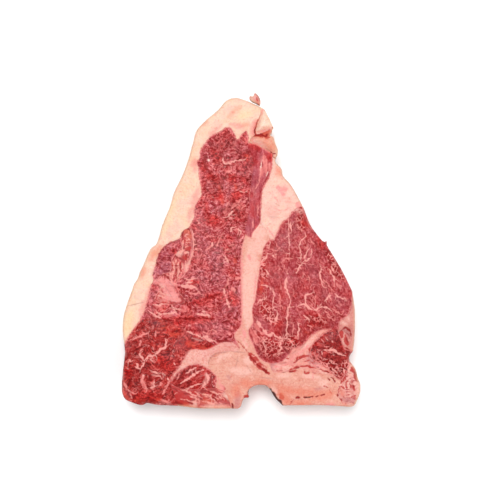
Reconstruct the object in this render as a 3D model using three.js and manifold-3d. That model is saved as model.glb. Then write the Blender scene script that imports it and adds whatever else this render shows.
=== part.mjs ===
// A raw rubia gallega porterhouse steak lying on one cut face, with the other face up.
// Millimetres, +Z up. The T bone's stem runs along Y and the sawn chine edge is at -Y.
import * as THREE from "three";
import { mergeVertices } from "three/addons/utils/BufferGeometryUtils.js";
import Module from "manifold-3d";

const wasm = await Module();
wasm.setup();

// Driving dimensions
const LENGTH = 230; // chine edge to the narrow end, along Y
const THICKNESS = 40; // distance between the two cut faces at the rim
const RIM_DROP = 4.4; // height over which the outer edge rounds off
const RIM_WIDTH = 3; // width over which the outer edge rounds off
const HEADROOM = 1.6; // most that a muscle swells above THICKNESS
const CUT_GAP = 0.3; // clearance between neighbouring muscle, fat and bone
const SEAM_STEP = 4; // spacing of the points along a seam
const RELIEF_STEP = 6.5; // spacing of the relief grid on a muscle's face
const FOLD_STEP = 3.2; // the same on the small folded lobes of fat
const FLAKE_FLOOR = 30; // height of the loose flake's underside
const FLAKE_EDGE = 0.8; // rounding of the flake's edges

// The map below was drawn on a field of this length, round this middle.
const DRAWN_LENGTH = 230.1;
const DRAWN_MIDDLE = new THREE.Vector2(0.2, 0.75);
const DRAWN_SCALE = LENGTH / DRAWN_LENGTH;

// Seams of the cut face: each runs from one junction to the next, and two pieces share it.
const OUTER_SEAMS = {
  capRind: [
    [-85, -67], [-86.1, -58], [-85.6, -48], [-84, -41], [-79.6, -28.5], [-77.8, -23.3], [-75.3, -19.5],
    [-73.6, -14.5], [-71.6, -10.5], [-67.2, -0.3], [-65.3, 2.8], [-61.8, 5.6], [-60.3, 9], [-57.3, 19.5],
    [-51.8, 33], [-48.6, 43.6], [-43, 55], [-38.6, 66.5], [-35, 79.5], [-32.3, 88.5], [-25, 96.3],
    [-16.5, 103.6], [-10.5, 110.2], [-4, 112.2], [2.5, 110.6], [14, 105.6],
  ],
  upperFoldRind: [[14, 105.6], [17, 103.6], [20.2, 98], [23.7, 90.2]],
  lowerFoldRind: [
    [23.7, 90.2], [22.2, 87.2], [21.2, 84.9], [23.4, 83.8], [25, 78.8], [26.8, 74], [26.4, 70], [24.8, 68.3],
  ],
  loinFatRim: [
    [24.8, 68.3], [25.3, 65.3], [29.6, 60.2], [30.6, 55.4], [36, 49.3], [42.6, 38], [46, 31],
  ],
  filletRim: [
    [46, 31], [50.2, 20.3], [54, 14.5], [60.3, 7.5], [62.4, 7.8], [62.6, 5], [65.5, 0], [73.5, -13.3],
    [81, -28.5],
  ],
  edgeFatRim: [[81, -28.5], [82.8, -42], [82.7, -62], [81.6, -72]],
  sideRim: [[81.6, -72], [78.9, -76.5], [79, -79.2]],
  bulbRim: [
    [79, -79.2], [83.4, -85.4], [84.8, -91], [87.2, -98.5], [85, -107], [82, -112], [78.5, -112.8], [74.5, -112.4],
  ],
  chineRight: [[74.5, -112.4], [58, -111.6], [30.3, -111.8]],
  canal: [
    [30.3, -111.8], [25, -106.6], [20.8, -99.8], [18, -97.4], [14, -96.9], [9.5, -97.7], [4.9, -101.6],
    [5.8, -105.8], [2.2, -106.6], [-0.4, -112.8], [-3, -114.3], [-6.5, -114.2],
  ],
  trimRim: [[-6.5, -114.2], [-30, -113.9], [-46, -112]],
  sirloinRim: [
    [-46, -112], [-62, -111.2], [-68.6, -110], [-71.6, -111.5], [-80, -109.3], [-84.3, -107], [-86.6, -102],
    [-86.2, -89], [-84.6, -74], [-85, -67],
  ],
};
const INNER_SEAMS = {
  capFold: [[14, 105.6], [14.1, 100.6], [11.3, 93.5], [9.5, 87.5], [10, 85]],
  foldCrease: [[10, 85], [14, 86.2], [23.7, 90.2]],
  capLobe: [[10, 85], [7, 82.2], [5.5, 79]],
  foldUnder: [[5.5, 79], [11, 77.8], [16.5, 74.8], [22.8, 71.2]],
  foldTip: [[22.8, 71.2], [23.2, 69.2], [24.8, 68.3]],
  capLoin: [
    [5.5, 79], [4.9, 85.5], [3.8, 88.2], [0.6, 85.5], [-2.6, 81.4], [-4.8, 86], [-8.3, 90.6], [-11.5, 89.8],
    [-16, 86.6], [-21.6, 84.4], [-25, 80], [-29.6, 73.2], [-29.6, 68.5], [-32, 64.8], [-30.8, 61],
    [-30.3, 54], [-28.7, 42], [-33.4, 33], [-34.2, 25], [-37.5, 18],
  ],
  capWeb: [[-37.5, 18], [-42, 15.3], [-44, 9.8]],
  capRib: [[-44, 9.8], [-54, 5.4], [-59.6, -1.2], [-62.2, -9.5], [-64, -16], [-63.6, -20.4]],
  capWebLow: [[-63.6, -20.4], [-65.2, -24]],
  webRib: [
    [-44, 9.8], [-42.5, 4], [-46.3, -0.2], [-50, -6], [-51.3, -14.5], [-56, -16], [-60.3, -19.6], [-63.6, -20.4],
  ],
  webBelly: [[-65.2, -24], [-62.4, -22.7], [-58.4, -26], [-61, -31.2], [-62.5, -35]],
  capBelly: [[-65.2, -24], [-68.4, -36.5], [-70.2, -43]],
  loinBelly: [[-62.5, -35], [-66.5, -41], [-70.2, -43]],
  loinWeb: [
    [-37.5, 18], [-35.4, 10], [-35, 0], [-37.4, -9], [-42, -17], [-46.6, -21], [-46.6, -27], [-40.7, -36],
    [-49, -37.6], [-58, -37], [-62.5, -35],
  ],
  capLoinLow: [[-70.2, -43], [-73.8, -50.3]],
  capSirloin: [[-73.8, -50.3], [-81, -60.2], [-85, -67]],
  loinSirloin: [
    [-73.8, -50.3], [-66, -47.8], [-57, -48.8], [-47, -53.5], [-37.5, -58.7], [-28, -63.3], [-17.5, -67.6],
  ],
  loinBand: [[-17.5, -67.6], [-14, -65.6], [-5, -66], [-0.8, -69.8]],
  sirloinBand: [
    [-17.5, -67.6], [-25, -70.8], [-36.5, -71.3], [-45, -83.7], [-49.8, -90], [-52, -94.6],
  ],
  bandBack: [[-52, -94.6], [-45, -87], [-33, -81.4], [-26, -83.6], [-21.6, -86.4]],
  bandBone: [[-21.6, -86.4], [-24, -80], [-20, -74], [-11, -72], [-3, -72.2], [-0.8, -69.8]],
  backBone: [[-21.6, -86.4], [-17.8, -90.5], [-18.2, -98.6]],
  backTrim: [[-52, -94.6], [-44.5, -98.7], [-30, -99.6], [-18.2, -98.6]],
  trimBone: [[-18.2, -98.6], [-11.5, -102], [-8.3, -108.8], [-6.5, -114.2]],
  sirloinTrim: [[-52, -94.6], [-49, -102], [-46, -112]],
  loinFlank: [
    [5.5, 79], [5, 75.5], [8.8, 66], [8.6, 57], [6.2, 43], [6, 30], [3.2, 16.5], [3.2, 12.3],
  ],
  flankBone: [[3.2, 12.3], [7.2, 10.4], [9, 14.5], [14, 21]],
  flankFat: [[14, 21], [14.5, 33], [15.6, 44.5], [20.6, 54.8], [22.3, 62], [22.8, 71.2]],
  fatBone: [[14, 21], [18.5, 16], [21, 9.3]],
  fatFillet: [
    [46, 31], [43.3, 33], [38, 29.6], [34.6, 25], [30, 21.3], [25, 11.6], [23.4, 8.6], [21, 9.3],
  ],
  boneFillet: [
    [21, 9.3], [17.2, 5], [14.8, -4], [12, -22], [10.2, -34], [7.8, -42], [8.6, -51], [5.4, -57.5],
    [9.6, -69.5], [13.8, -77.6], [21, -81.2],
  ],
  boneLoin: [
    [3.2, 12.3], [0.8, 4], [0, -10], [0.4, -40], [-0.2, -54], [-4.6, -60], [-0.8, -69.8],
  ],
  filletSeam: [
    [21, -81.2], [29.5, -79.8], [34.7, -74.5], [37, -70.6], [44, -68], [51.5, -60], [58, -56.8], [65.5, -55.8],
  ],
  filletSide: [[65.5, -55.8], [70.7, -56.3]],
  filletEdge: [[70.7, -56.3], [71.2, -51], [77.3, -46], [80.2, -38], [81, -28.5]],
  sideEdge: [[70.7, -56.3], [73, -64.5], [75.6, -70.2], [81.6, -72]],
  seamSide: [
    [65.5, -55.8], [57, -61.6], [50.8, -69], [52, -77.5], [60.5, -82.6], [68.5, -90], [72.5, -93.6],
  ],
  sideBulb: [[72.5, -93.6], [76.8, -87.5], [79, -79.2]],
  seamBone: [
    [21, -81.2], [23, -87], [35, -86.5], [43, -84.4], [50.5, -87], [61, -88.8], [72.5, -93.6],
  ],
  boneBulb: [[72.5, -93.6], [70.3, -102.5], [74.5, -112.4]],
};
const SEAMS = { ...OUTER_SEAMS, ...INNER_SEAMS };

// Each piece: the seams round it in order (a minus runs one backwards), its look and its relief.
// swell: rise of the middle over the edge; reach: width of that rise; ripple: unevenness; sink: overall drop.
const MUSCLE = { colour: 0xa83244, roughness: 0.45, swell: 1.1, reach: 14, ripple: 0.45, sink: 0.3 };
const FAT = { colour: 0xf3d2bb, roughness: 0.5, swell: 0.3, reach: 10, ripple: 0.3, sink: 0.1 };
const BONE = { colour: 0xe9b79c, roughness: 0.6, swell: 0.1, reach: 8, ripple: 0.12, sink: 0.6 };
const FOLD = { ...FAT, swell: 4.4, reach: 6, ripple: 0.2, sink: 3.4, step: FOLD_STEP };
const PIECES = {
  t_bone: {
    ...BONE,
    round: "-fatBone -flankBone boneLoin -bandBone backBone trimBone -canal -chineRight -boneBulb -seamBone"
      + " -boneFillet",
  },
  strip_loin: {
    ...MUSCLE,
    round: "-capLoin loinFlank boneLoin -loinBand -loinSirloin -capLoinLow -loinBelly -loinWeb",
  },
  rib_muscle: { ...MUSCLE, round: "capRib -webRib", reach: 8 },
  belly_muscle: { ...MUSCLE, round: "webBelly loinBelly -capBelly", reach: 5 },
  web_fat: { ...FAT, round: "capWeb webRib capWebLow webBelly -loinWeb" },
  sirloin_tip: {
    ...MUSCLE,
    round: "capSirloin -sirloinRim -sirloinTrim -sirloinBand -loinSirloin",
    colour: 0x9c2a3a,
  },
  band_fat: { ...FAT, round: "sirloinBand bandBack bandBone -loinBand", colour: 0xf0b6a4 },
  back_muscle: { ...MUSCLE, round: "bandBack backBone -backTrim", reach: 8 },
  chine_trim: { ...FAT, round: "backTrim trimBone trimRim -sirloinTrim", colour: 0xdc8a78, ripple: 0.5 },
  flank_strip: { ...MUSCLE, round: "foldUnder -flankFat -flankBone -loinFlank", reach: 6 },
  loin_fat: { ...FAT, round: "foldTip loinFatRim fatFillet -fatBone flankFat", colour: 0xf4c4b2 },
  tenderloin: {
    ...MUSCLE,
    round: "fatFillet boneFillet filletSeam filletSide filletEdge -filletRim",
    colour: 0xad3340,
    swell: 1.3,
  },
  seam_fat: { ...FAT, round: "filletSeam seamSide -seamBone", colour: 0xf2b5a4 },
  side_muscle: { ...MUSCLE, round: "filletSide sideEdge sideRim -sideBulb -seamSide", colour: 0x9a2c38, reach: 8 },
  edge_fat: { ...FAT, round: "filletEdge edgeFatRim -sideEdge", colour: 0xf0b9a6, reach: 5 },
  gristle_bulb: { ...FAT, round: "sideBulb bulbRim -boneBulb", colour: 0xecb3a0, swell: 0.9, sink: 0.7, reach: 7 },
  fat_cap: {
    ...FAT,
    round: "capRind capFold capLobe capLoin capWeb capRib capWebLow capBelly capLoinLow capSirloin",
    colour: 0xf7ddc2,
  },
  fold_upper: { ...FOLD, round: "capFold foldCrease -upperFoldRind" },
  fold_lower: { ...FOLD, round: "capLobe foldUnder foldTip -lowerFoldRind -foldCrease", swell: 3.6 },
};

// The pinkish flake that stands off the narrow end of the fat cap.
const FLAKE = {
  colour: 0xe59a8c,
  roughness: 0.5,
  outline: [
    [8.2, 109.2], [6, 111.6], [6.4, 113.3], [8.7, 113.2], [10, 115.8], [12.6, 113.6], [14.2, 110], [13.7, 106.6],
    [11, 108],
  ],
};

// Cuts that open into the show face: the line each follows, its greatest width and its depth.
const CARVINGS = {
  fold_lower: [{ line: [[11, 85], [17, 85.2], [22.6, 87]], width: 5.2, depth: 9 }],
  t_bone: [
    { line: [[5.4, -73], [10.5, -80.4], [20.2, -88.6]], width: 3.4, depth: 2.6 },
    { line: [[35.5, -108.6], [40, -105.7], [66, -103.6]], width: 1.4, depth: 2.2 },
  ],
  seam_fat: [{ line: [[37.5, -82], [42, -78], [51, -75.3]], width: 2.2, depth: 2.4 }],
};

function drawn([x, y]) {
  return new THREE.Vector3(x - DRAWN_MIDDLE.x, y - DRAWN_MIDDLE.y, 0).multiplyScalar(DRAWN_SCALE);
}

function along(points, step) {
  const curve = new THREE.CatmullRomCurve3(points.map(drawn), false, "centripetal");
  const count = Math.max(1, Math.round(curve.getLength() / step));
  return curve.getSpacedPoints(count).map((p) => new THREE.Vector2(p.x, p.y));
}

const seamPoints = new Map(Object.entries(SEAMS).map(([name, points]) => [name, along(points, SEAM_STEP)]));

// Joins seams end to end into one loop that turns counter-clockwise.
function ring(names) {
  const loop = [];
  let last = null;
  for (const name of names.split(" ")) {
    const points = [...seamPoints.get(name.replace("-", ""))];
    if (name.startsWith("-")) points.reverse();
    if (last && last.distanceTo(points[0]) > 1e-6) throw new Error("a gap in the ring before " + name);
    loop.push(...points.slice(0, -1));
    last = points.at(-1);
  }
  if (last.distanceTo(loop[0]) > 1e-6) throw new Error("an open ring: " + names);
  return THREE.ShapeUtils.isClockWise(loop) ? loop.reverse() : loop;
}

// Moves a counter-clockwise loop inwards.
function inset(loop, distance) {
  const sharpest = 0.45;
  const sideOf = (a, b) => new THREE.Vector2(a.y - b.y, b.x - a.x).normalize();
  return loop.map((point, i) => {
    const before = sideOf(loop.at(i - 1), point);
    const after = sideOf(point, loop[(i + 1) % loop.length]);
    const middle = before.clone().add(after).normalize();
    return point.clone().addScaledVector(middle, distance / Math.max(sharpest, middle.dot(before)));
  });
}

function solid(geometry) {
  geometry.deleteAttribute("normal");
  geometry.deleteAttribute("uv");
  const merged = mergeVertices(geometry, 1e-4);
  return new wasm.Manifold(
    new wasm.Mesh({
      numProp: 3,
      vertProperties: merged.attributes.position.array,
      triVerts: new Uint32Array(merged.index.array),
    }),
  );
}

function prism(loop, low, high) {
  const geometry = new THREE.ExtrudeGeometry(new THREE.Shape(loop), { depth: high - low, bevelEnabled: false });
  return solid(geometry.translate(0, 0, low));
}

// A prism of an outline whose upper and lower edges are rounded off.
function roundedPrism(loop, low, high, drop, width) {
  const geometry = new THREE.ExtrudeGeometry(new THREE.Shape(loop), {
    depth: high - low - 2 * drop,
    bevelThickness: drop,
    bevelSize: width,
    bevelOffset: -width,
    bevelSegments: 2,
  });
  return solid(geometry.translate(0, 0, low + drop));
}

function distanceTo(loop, x, y) {
  const from = new THREE.Vector3(x, y, 0);
  const nearest = new THREE.Vector3();
  const edge = new THREE.Line3();
  let least = Infinity;
  loop.forEach((point, i) => {
    const next = loop[(i + 1) % loop.length];
    edge.start.set(point.x, point.y, 0);
    edge.end.set(next.x, next.y, 0);
    least = Math.min(least, edge.closestPointToPoint(from, true, nearest).distanceTo(from));
  });
  return least;
}

// Unevenness of the cut face between -1 and 1: slow waves crossed by finer ones.
function unevenness(x, y) {
  const slow = Math.sin(x / 11 + 1.3 * Math.sin(y / 17)) * Math.cos(y / 13 - 0.6 * Math.sin(x / 19));
  const fine = Math.sin(x / 4.7 + y / 6.1) * Math.cos(y / 5.3 - x / 7.9);
  return 0.65 * slow + 0.35 * fine;
}

// A slab whose upper face carries the piece's relief.
function reliefSlab(loop, piece) {
  const margin = 2;
  const step = piece.step ?? RELIEF_STEP;
  const box = new THREE.Box2().setFromPoints(loop).expandByScalar(margin);
  const size = box.getSize(new THREE.Vector2());
  const middle = box.getCenter(new THREE.Vector2());
  const slab = new THREE.BoxGeometry(
    size.x, size.y, THICKNESS, Math.ceil(size.x / step), Math.ceil(size.y / step), 1,
  );
  slab.translate(middle.x, middle.y, 0);
  const position = slab.attributes.position;
  for (let i = 0; i < position.count; i++) {
    if (position.getZ(i) < 0) {
      position.setZ(i, -margin);
      continue;
    }
    const x = position.getX(i);
    const y = position.getY(i);
    const inward = THREE.MathUtils.smoothstep(distanceTo(loop, x, y), 0, piece.reach);
    const rise = piece.swell * inward + piece.ripple * unevenness(x, y) - piece.sink;
    position.setZ(i, THICKNESS + Math.min(HEADROOM - 0.1, rise));
  }
  return solid(slab);
}

// A cut along a line, widest in its middle and running out to nothing at both ends.
function carving({ line, width, depth }) {
  const middle = along(line, SEAM_STEP);
  const sides = [[], []];
  middle.forEach((point, i) => {
    const before = middle[Math.max(0, i - 1)];
    const after = middle[Math.min(middle.length - 1, i + 1)];
    const across = new THREE.Vector2(before.y - after.y, after.x - before.x).normalize();
    const half = (width / 2) * Math.max(0.12, Math.sin((Math.PI * i) / (middle.length - 1)));
    sides[0].push(point.clone().addScaledVector(across, -half));
    sides[1].unshift(point.clone().addScaledVector(across, half));
  });
  return prism([...sides[0], ...sides[1]], THICKNESS - depth, THICKNESS + 2 * HEADROOM);
}

function geometryOf(body) {
  const mesh = body.getMesh();
  const geometry = new THREE.BufferGeometry();
  geometry.setAttribute("position", new THREE.BufferAttribute(new Float32Array(mesh.vertProperties), 3));
  geometry.setIndex(new THREE.BufferAttribute(new Uint32Array(mesh.triVerts), 1));
  geometry.computeVertexNormals();
  return geometry;
}

function meshOf(name, body, { colour, roughness }) {
  const material = new THREE.MeshStandardMaterial({ color: colour, roughness, metalness: 0 });
  const mesh = new THREE.Mesh(geometryOf(body), material);
  mesh.name = name;
  return mesh;
}

const wholeOutline = ring(Object.keys(OUTER_SEAMS).join(" "));
const whole = roundedPrism(wholeOutline, 0, THICKNESS + HEADROOM, RIM_DROP, RIM_WIDTH);

function buildPiece(name, piece) {
  const loop = ring(piece.round);
  const column = prism(inset(loop, CUT_GAP / 2), -1, THICKNESS + 2 * HEADROOM);
  let body = whole.intersect(column).intersect(reliefSlab(loop, piece));
  for (const cut of CARVINGS[name] ?? []) body = body.subtract(carving(cut));
  return meshOf(name, body, piece);
}

function buildFlake() {
  const loop = FLAKE.outline.map(drawn).map((p) => new THREE.Vector2(p.x, p.y));
  const upright = THREE.ShapeUtils.isClockWise(loop) ? loop.reverse() : loop;
  const body = roundedPrism(inset(upright, CUT_GAP), FLAKE_FLOOR, THICKNESS, FLAKE_EDGE, FLAKE_EDGE);
  return meshOf("meat_flake", body, FLAKE);
}

const group = new THREE.Group();
for (const [name, piece] of Object.entries(PIECES)) group.add(buildPiece(name, piece));
group.add(buildFlake());

export default group;
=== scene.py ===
"""Raw rubia gallega porterhouse steak, lying on one cut face: meat, fat and bone dressed for the studio.

Places and sizes are in millimetres on the drawn map of the cut face, and become metres as a mesh is made.
"""
import logging
import math
from dataclasses import dataclass
from enum import Enum
from typing import Sequence

import bpy
import numpy as np
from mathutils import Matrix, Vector
from mathutils.geometry import delaunay_2d_cdt


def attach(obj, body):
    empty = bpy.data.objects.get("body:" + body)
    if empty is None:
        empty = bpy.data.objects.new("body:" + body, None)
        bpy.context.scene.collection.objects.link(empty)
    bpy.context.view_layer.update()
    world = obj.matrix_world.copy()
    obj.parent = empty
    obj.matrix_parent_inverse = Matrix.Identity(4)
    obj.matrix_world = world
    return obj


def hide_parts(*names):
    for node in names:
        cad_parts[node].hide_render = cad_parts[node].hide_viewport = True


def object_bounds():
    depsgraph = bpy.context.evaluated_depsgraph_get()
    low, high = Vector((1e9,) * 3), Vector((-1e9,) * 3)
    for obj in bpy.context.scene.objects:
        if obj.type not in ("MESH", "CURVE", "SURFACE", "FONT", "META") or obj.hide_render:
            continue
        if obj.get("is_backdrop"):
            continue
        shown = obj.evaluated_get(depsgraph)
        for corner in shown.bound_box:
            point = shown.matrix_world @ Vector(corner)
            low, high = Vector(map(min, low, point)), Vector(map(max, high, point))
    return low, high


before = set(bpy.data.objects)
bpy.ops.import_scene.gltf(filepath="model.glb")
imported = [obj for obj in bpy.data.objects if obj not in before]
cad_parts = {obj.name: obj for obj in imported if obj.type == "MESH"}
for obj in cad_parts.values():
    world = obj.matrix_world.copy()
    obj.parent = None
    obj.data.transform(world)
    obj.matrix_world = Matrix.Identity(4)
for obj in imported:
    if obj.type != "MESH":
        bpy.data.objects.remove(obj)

log = logging.getLogger("steak")
Array = np.ndarray
Points = tuple[tuple[float, float], ...]
Colour = tuple[float, float, float]
Material = bpy.types.Material
Socket = bpy.types.NodeSocket
Value = Socket | float
Paint = Socket | Colour

# The steak's size, its rounded rim, and how far a cut face may stand above its plane
LENGTH = 230.0
THICKNESS = 40.0
RIM_DROP = 4.4
RIM_WIDTH = 3.0
HEADROOM = 1.3

# The map that it is drawn on, and a millimetre in metres
DRAWN_LENGTH = 230.1
DRAWN_MIDDLE = (0.2, 0.75)
MM = 0.001

# What the studio's light does to a base colour of 1, and the glare that it adds to any
BRIGHTNESS = 1.28
GLARE = 0.012

# Fineness of the meshes
SEAM_STEP = 0.7
FACE_STEP = 0.47
UNDER_STEP = 2.4
WALL_STEP = 1.5
SEAM_GAP = 0.015
RIM_RINGS = (0.1, 0.4, 0.9, 1.5, 2.2, 3.0)
UNDER_RINGS = (0.4, 1.5, 3.0)

# The distance that counts as far away, the side of the nearest-side search's squares, both in mm, and
# how many pairs of a point and a side are worked on at once
FAR = 15.0
SQUARE = 8.0
AT_ONCE = 4_000_000

# The courses of the seams, as x,y pairs: first those along the outline, then those between pieces
OUTER_SEAMS = {
    "capRind": (
        "-85,-67 -86.1,-58 -85.6,-48 -84,-41 -79.6,-28.5 -77.8,-23.3 -75.3,-19.5 -73.6,-14.5 -71.6,-10.5 "
        "-67.2,-0.3 -65.3,2.8 -61.8,5.6 -60.3,9 -57.3,19.5 -51.8,33 -48.6,43.6 -43,55 -38.6,66.5 -35,79.5 "
        "-32.3,88.5 -25,96.3 -16.5,103.6 -10.5,110.2 -4,112.2 2.5,110.6 14,105.6"
    ),
    "upperFoldRind": "14,105.6 17,103.6 20.2,98 23.7,90.2",
    "lowerFoldRind": "23.7,90.2 22.2,87.2 21.2,84.9 23.4,83.8 25,78.8 26.8,74 26.4,70 24.8,68.3",
    "loinFatRim": "24.8,68.3 25.3,65.3 29.6,60.2 30.6,55.4 36,49.3 42.6,38 46,31",
    "filletRim": "46,31 50.2,20.3 54,14.5 60.3,7.5 62.4,7.8 62.6,5 65.5,0 73.5,-13.3 81,-28.5",
    "edgeFatRim": "81,-28.5 82.8,-42 82.7,-62 81.6,-72",
    "sideRim": "81.6,-72 78.9,-76.5 79,-79.2",
    "bulbRim": "79,-79.2 83.4,-85.4 84.8,-91 87.2,-98.5 85,-107 82,-112 78.5,-112.8 74.5,-112.4",
    "chineRight": "74.5,-112.4 58,-111.6 30.3,-111.8",
    "canal": (
        "30.3,-111.8 25,-106.6 20.8,-99.8 18,-97.4 14,-96.9 9.5,-97.7 4.9,-101.6 5.8,-105.8 2.2,-106.6 "
        "-0.4,-112.8 -3,-114.3 -6.5,-114.2"
    ),
    "trimRim": "-6.5,-114.2 -30,-113.9 -46,-112",
    "sirloinRim": (
        "-46,-112 -62,-111.2 -68.6,-110 -71.6,-111.5 -80,-109.3 -84.3,-107 -86.6,-102 -86.2,-89 -84.6,-74 "
        "-85,-67"
    ),
}
INNER_SEAMS = {
    "capFold": "14,105.6 14.1,100.6 11.3,93.5 9.5,87.5 10,85",
    "foldCrease": "10,85 14,86.2 23.7,90.2",
    "capLobe": "10,85 7,82.2 5.5,79",
    "foldUnder": "5.5,79 11,77.8 16.5,74.8 22.8,71.2",
    "foldTip": "22.8,71.2 23.2,69.2 24.8,68.3",
    "capLoin": (
        "5.5,79 4.9,85.5 3.8,88.2 0.6,85.5 -2.6,81.4 -4.8,86 -8.3,90.6 -11.5,89.8 -16,86.6 -21.6,84.4 -25,80 "
        "-29.6,73.2 -29.6,68.5 -32,64.8 -30.8,61 -30.3,54 -28.7,42 -33.4,33 -34.2,25 -37.5,18"
    ),
    "capWeb": "-37.5,18 -42,15.3 -44,9.8",
    "capRib": "-44,9.8 -54,5.4 -59.6,-1.2 -62.2,-9.5 -64,-16 -63.6,-20.4",
    "capWebLow": "-63.6,-20.4 -65.2,-24",
    "webRib": "-44,9.8 -42.5,4 -46.3,-0.2 -50,-6 -51.3,-14.5 -56,-16 -60.3,-19.6 -63.6,-20.4",
    "webBelly": "-65.2,-24 -62.4,-22.7 -58.4,-26 -61,-31.2 -62.5,-35",
    "capBelly": "-65.2,-24 -68.4,-36.5 -70.2,-43",
    "loinBelly": "-62.5,-35 -66.5,-41 -70.2,-43",
    "loinWeb": (
        "-37.5,18 -35.4,10 -35,0 -37.4,-9 -42,-17 -46.6,-21 -46.6,-27 -40.7,-36 -49,-37.6 -58,-37 -62.5,-35"
    ),
    "capLoinLow": "-70.2,-43 -73.8,-50.3",
    "capSirloin": "-73.8,-50.3 -81,-60.2 -85,-67",
    "loinSirloin": "-73.8,-50.3 -66,-47.8 -57,-48.8 -47,-53.5 -37.5,-58.7 -28,-63.3 -17.5,-67.6",
    "loinBand": "-17.5,-67.6 -14,-65.6 -5,-66 -0.8,-69.8",
    "sirloinBand": "-17.5,-67.6 -25,-70.8 -36.5,-71.3 -45,-83.7 -49.8,-90 -52,-94.6",
    "bandBack": "-52,-94.6 -45,-87 -33,-81.4 -26,-83.6 -21.6,-86.4",
    "bandBone": "-21.6,-86.4 -24,-80 -20,-74 -11,-72 -3,-72.2 -0.8,-69.8",
    "backBone": "-21.6,-86.4 -17.8,-90.5 -18.2,-98.6",
    "backTrim": "-52,-94.6 -44.5,-98.7 -30,-99.6 -18.2,-98.6",
    "trimBone": "-18.2,-98.6 -11.5,-102 -8.3,-108.8 -6.5,-114.2",
    "sirloinTrim": "-52,-94.6 -49,-102 -46,-112",
    "loinFlank": "5.5,79 5,75.5 8.8,66 8.6,57 6.2,43 6,30 3.2,16.5 3.2,12.3",
    "flankBone": "3.2,12.3 7.2,10.4 9,14.5 14,21",
    "flankFat": "14,21 14.5,33 15.6,44.5 20.6,54.8 22.3,62 22.8,71.2",
    "fatBone": "14,21 18.5,16 21,9.3",
    "fatFillet": "46,31 43.3,33 38,29.6 34.6,25 30,21.3 25,11.6 23.4,8.6 21,9.3",
    "boneFillet": (
        "21,9.3 17.2,5 14.8,-4 12,-22 10.2,-34 7.8,-42 8.6,-51 5.4,-57.5 9.6,-69.5 13.8,-77.6 21,-81.2"
    ),
    "boneLoin": "3.2,12.3 0.8,4 0,-10 0.4,-40 -0.2,-54 -4.6,-60 -0.8,-69.8",
    "filletSeam": "21,-81.2 29.5,-79.8 34.7,-74.5 37,-70.6 44,-68 51.5,-60 58,-56.8 65.5,-55.8",
    "filletSide": "65.5,-55.8 70.7,-56.3",
    "filletEdge": "70.7,-56.3 71.2,-51 77.3,-46 80.2,-38 81,-28.5",
    "sideEdge": "70.7,-56.3 73,-64.5 75.6,-70.2 81.6,-72",
    "seamSide": "65.5,-55.8 57,-61.6 50.8,-69 52,-77.5 60.5,-82.6 68.5,-90 72.5,-93.6",
    "sideBulb": "72.5,-93.6 76.8,-87.5 79,-79.2",
    "seamBone": "21,-81.2 23,-87 35,-86.5 43,-84.4 50.5,-87 61,-88.8 72.5,-93.6",
    "boneBulb": "72.5,-93.6 70.3,-102.5 74.5,-112.4",
}
SEAMS = {**OUTER_SEAMS, **INNER_SEAMS}


class Slot(Enum):
    """The record's material slots."""

    LEAN = "lean"
    DARK_LEAN = "dark_lean"
    CAP_FAT = "cap_fat"
    PINK_FAT = "pink_fat"
    BONE = "bone"


def linear(red: float, green: float, blue: float) -> tuple[float, float, float, float]:
    """Turns a screen colour of 0 to 255 into the renderer's linear values.

    Args:
        red: red on the screen.
        green: green on the screen.
        blue: blue on the screen.

    Returns:
        The linear colour with full alpha.
    """
    shares = [c / 255 for c in (red, green, blue)]
    return (*[c / 12.92 if c <= 0.04045 else ((c + 0.055) / 1.055) ** 2.4 for c in shares], 1.0)


def painted(red: float, green: float, blue: float) -> tuple[float, float, float, float]:
    """Turns a colour as it looks in the studio into the base colour that gives it there.

    Args:
        red: red on the screen.
        green: green on the screen.
        blue: blue on the screen.

    Returns:
        The linear base colour with full alpha.
    """
    return (*[max(0.002, (c - GLARE) / BRIGHTNESS) for c in linear(red, green, blue)[:3]], 1.0)


def smooth(value: Array, low: float, high: float) -> Array:
    """Rises smoothly from 0 at low to 1 at high, or falls where low is the larger.

    Args:
        value: what is measured.
        low: where the result is 0.
        high: where the result is 1.

    Returns:
        The eased share.
    """
    share = np.clip((value - low) / (high - low), 0, 1)
    return share * share * (3 - 2 * share)


class Grain:
    """Smooth seeded noise on arrays of points."""

    SIDE = 256
    STRENGTH = 1.6
    LAYER_SHIFT = 31.7

    def __init__(self, seed: int) -> None:
        """Shuffles the lattice.

        Args:
            seed: which noise this is.
        """
        rng = np.random.default_rng(seed)
        self.order = rng.permutation(self.SIDE)
        slopes = rng.normal(size=(self.SIDE, 3))
        self.slopes = slopes / np.linalg.norm(slopes, axis=1)[:, None]

    def at(self, points: Array, size: float) -> Array:
        """Gives one layer of noise.

        Args:
            points: rows of x, y, z in mm.
            size: width of a bump in mm.

        Returns:
            Values between about -1 and 1.
        """
        scaled = points / size
        cell = np.floor(scaled).astype(int)
        inner = scaled - cell
        eased = inner * inner * inner * (inner * (inner * 6 - 15) + 10)
        total = np.zeros(len(points))
        for corner in np.ndindex(2, 2, 2):
            x, y, z = ((cell + corner) % self.SIDE).T
            hashed = self.order[(self.order[(self.order[x] + y) % self.SIDE] + z) % self.SIDE]
            weight = np.prod(np.where(corner, eased, 1 - eased), axis=1)
            total += weight * ((inner - corner) * self.slopes[hashed]).sum(1)
        return total * self.STRENGTH

    def layered(self, points: Array, size: float, layers: int = 3, gain: float = 0.5) -> Array:
        """Adds finer and finer layers of noise.

        Args:
            points: rows of x, y, z in mm.
            size: width of the largest bumps in mm.
            layers: how many layers.
            gain: strength of each layer against the one before.

        Returns:
            Values between about -1 and 1.
        """
        total = sum(gain**k * self.at(points + self.LAYER_SHIFT * k, size / 2**k) for k in range(layers))
        return total / sum(gain**k for k in range(layers))


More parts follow.
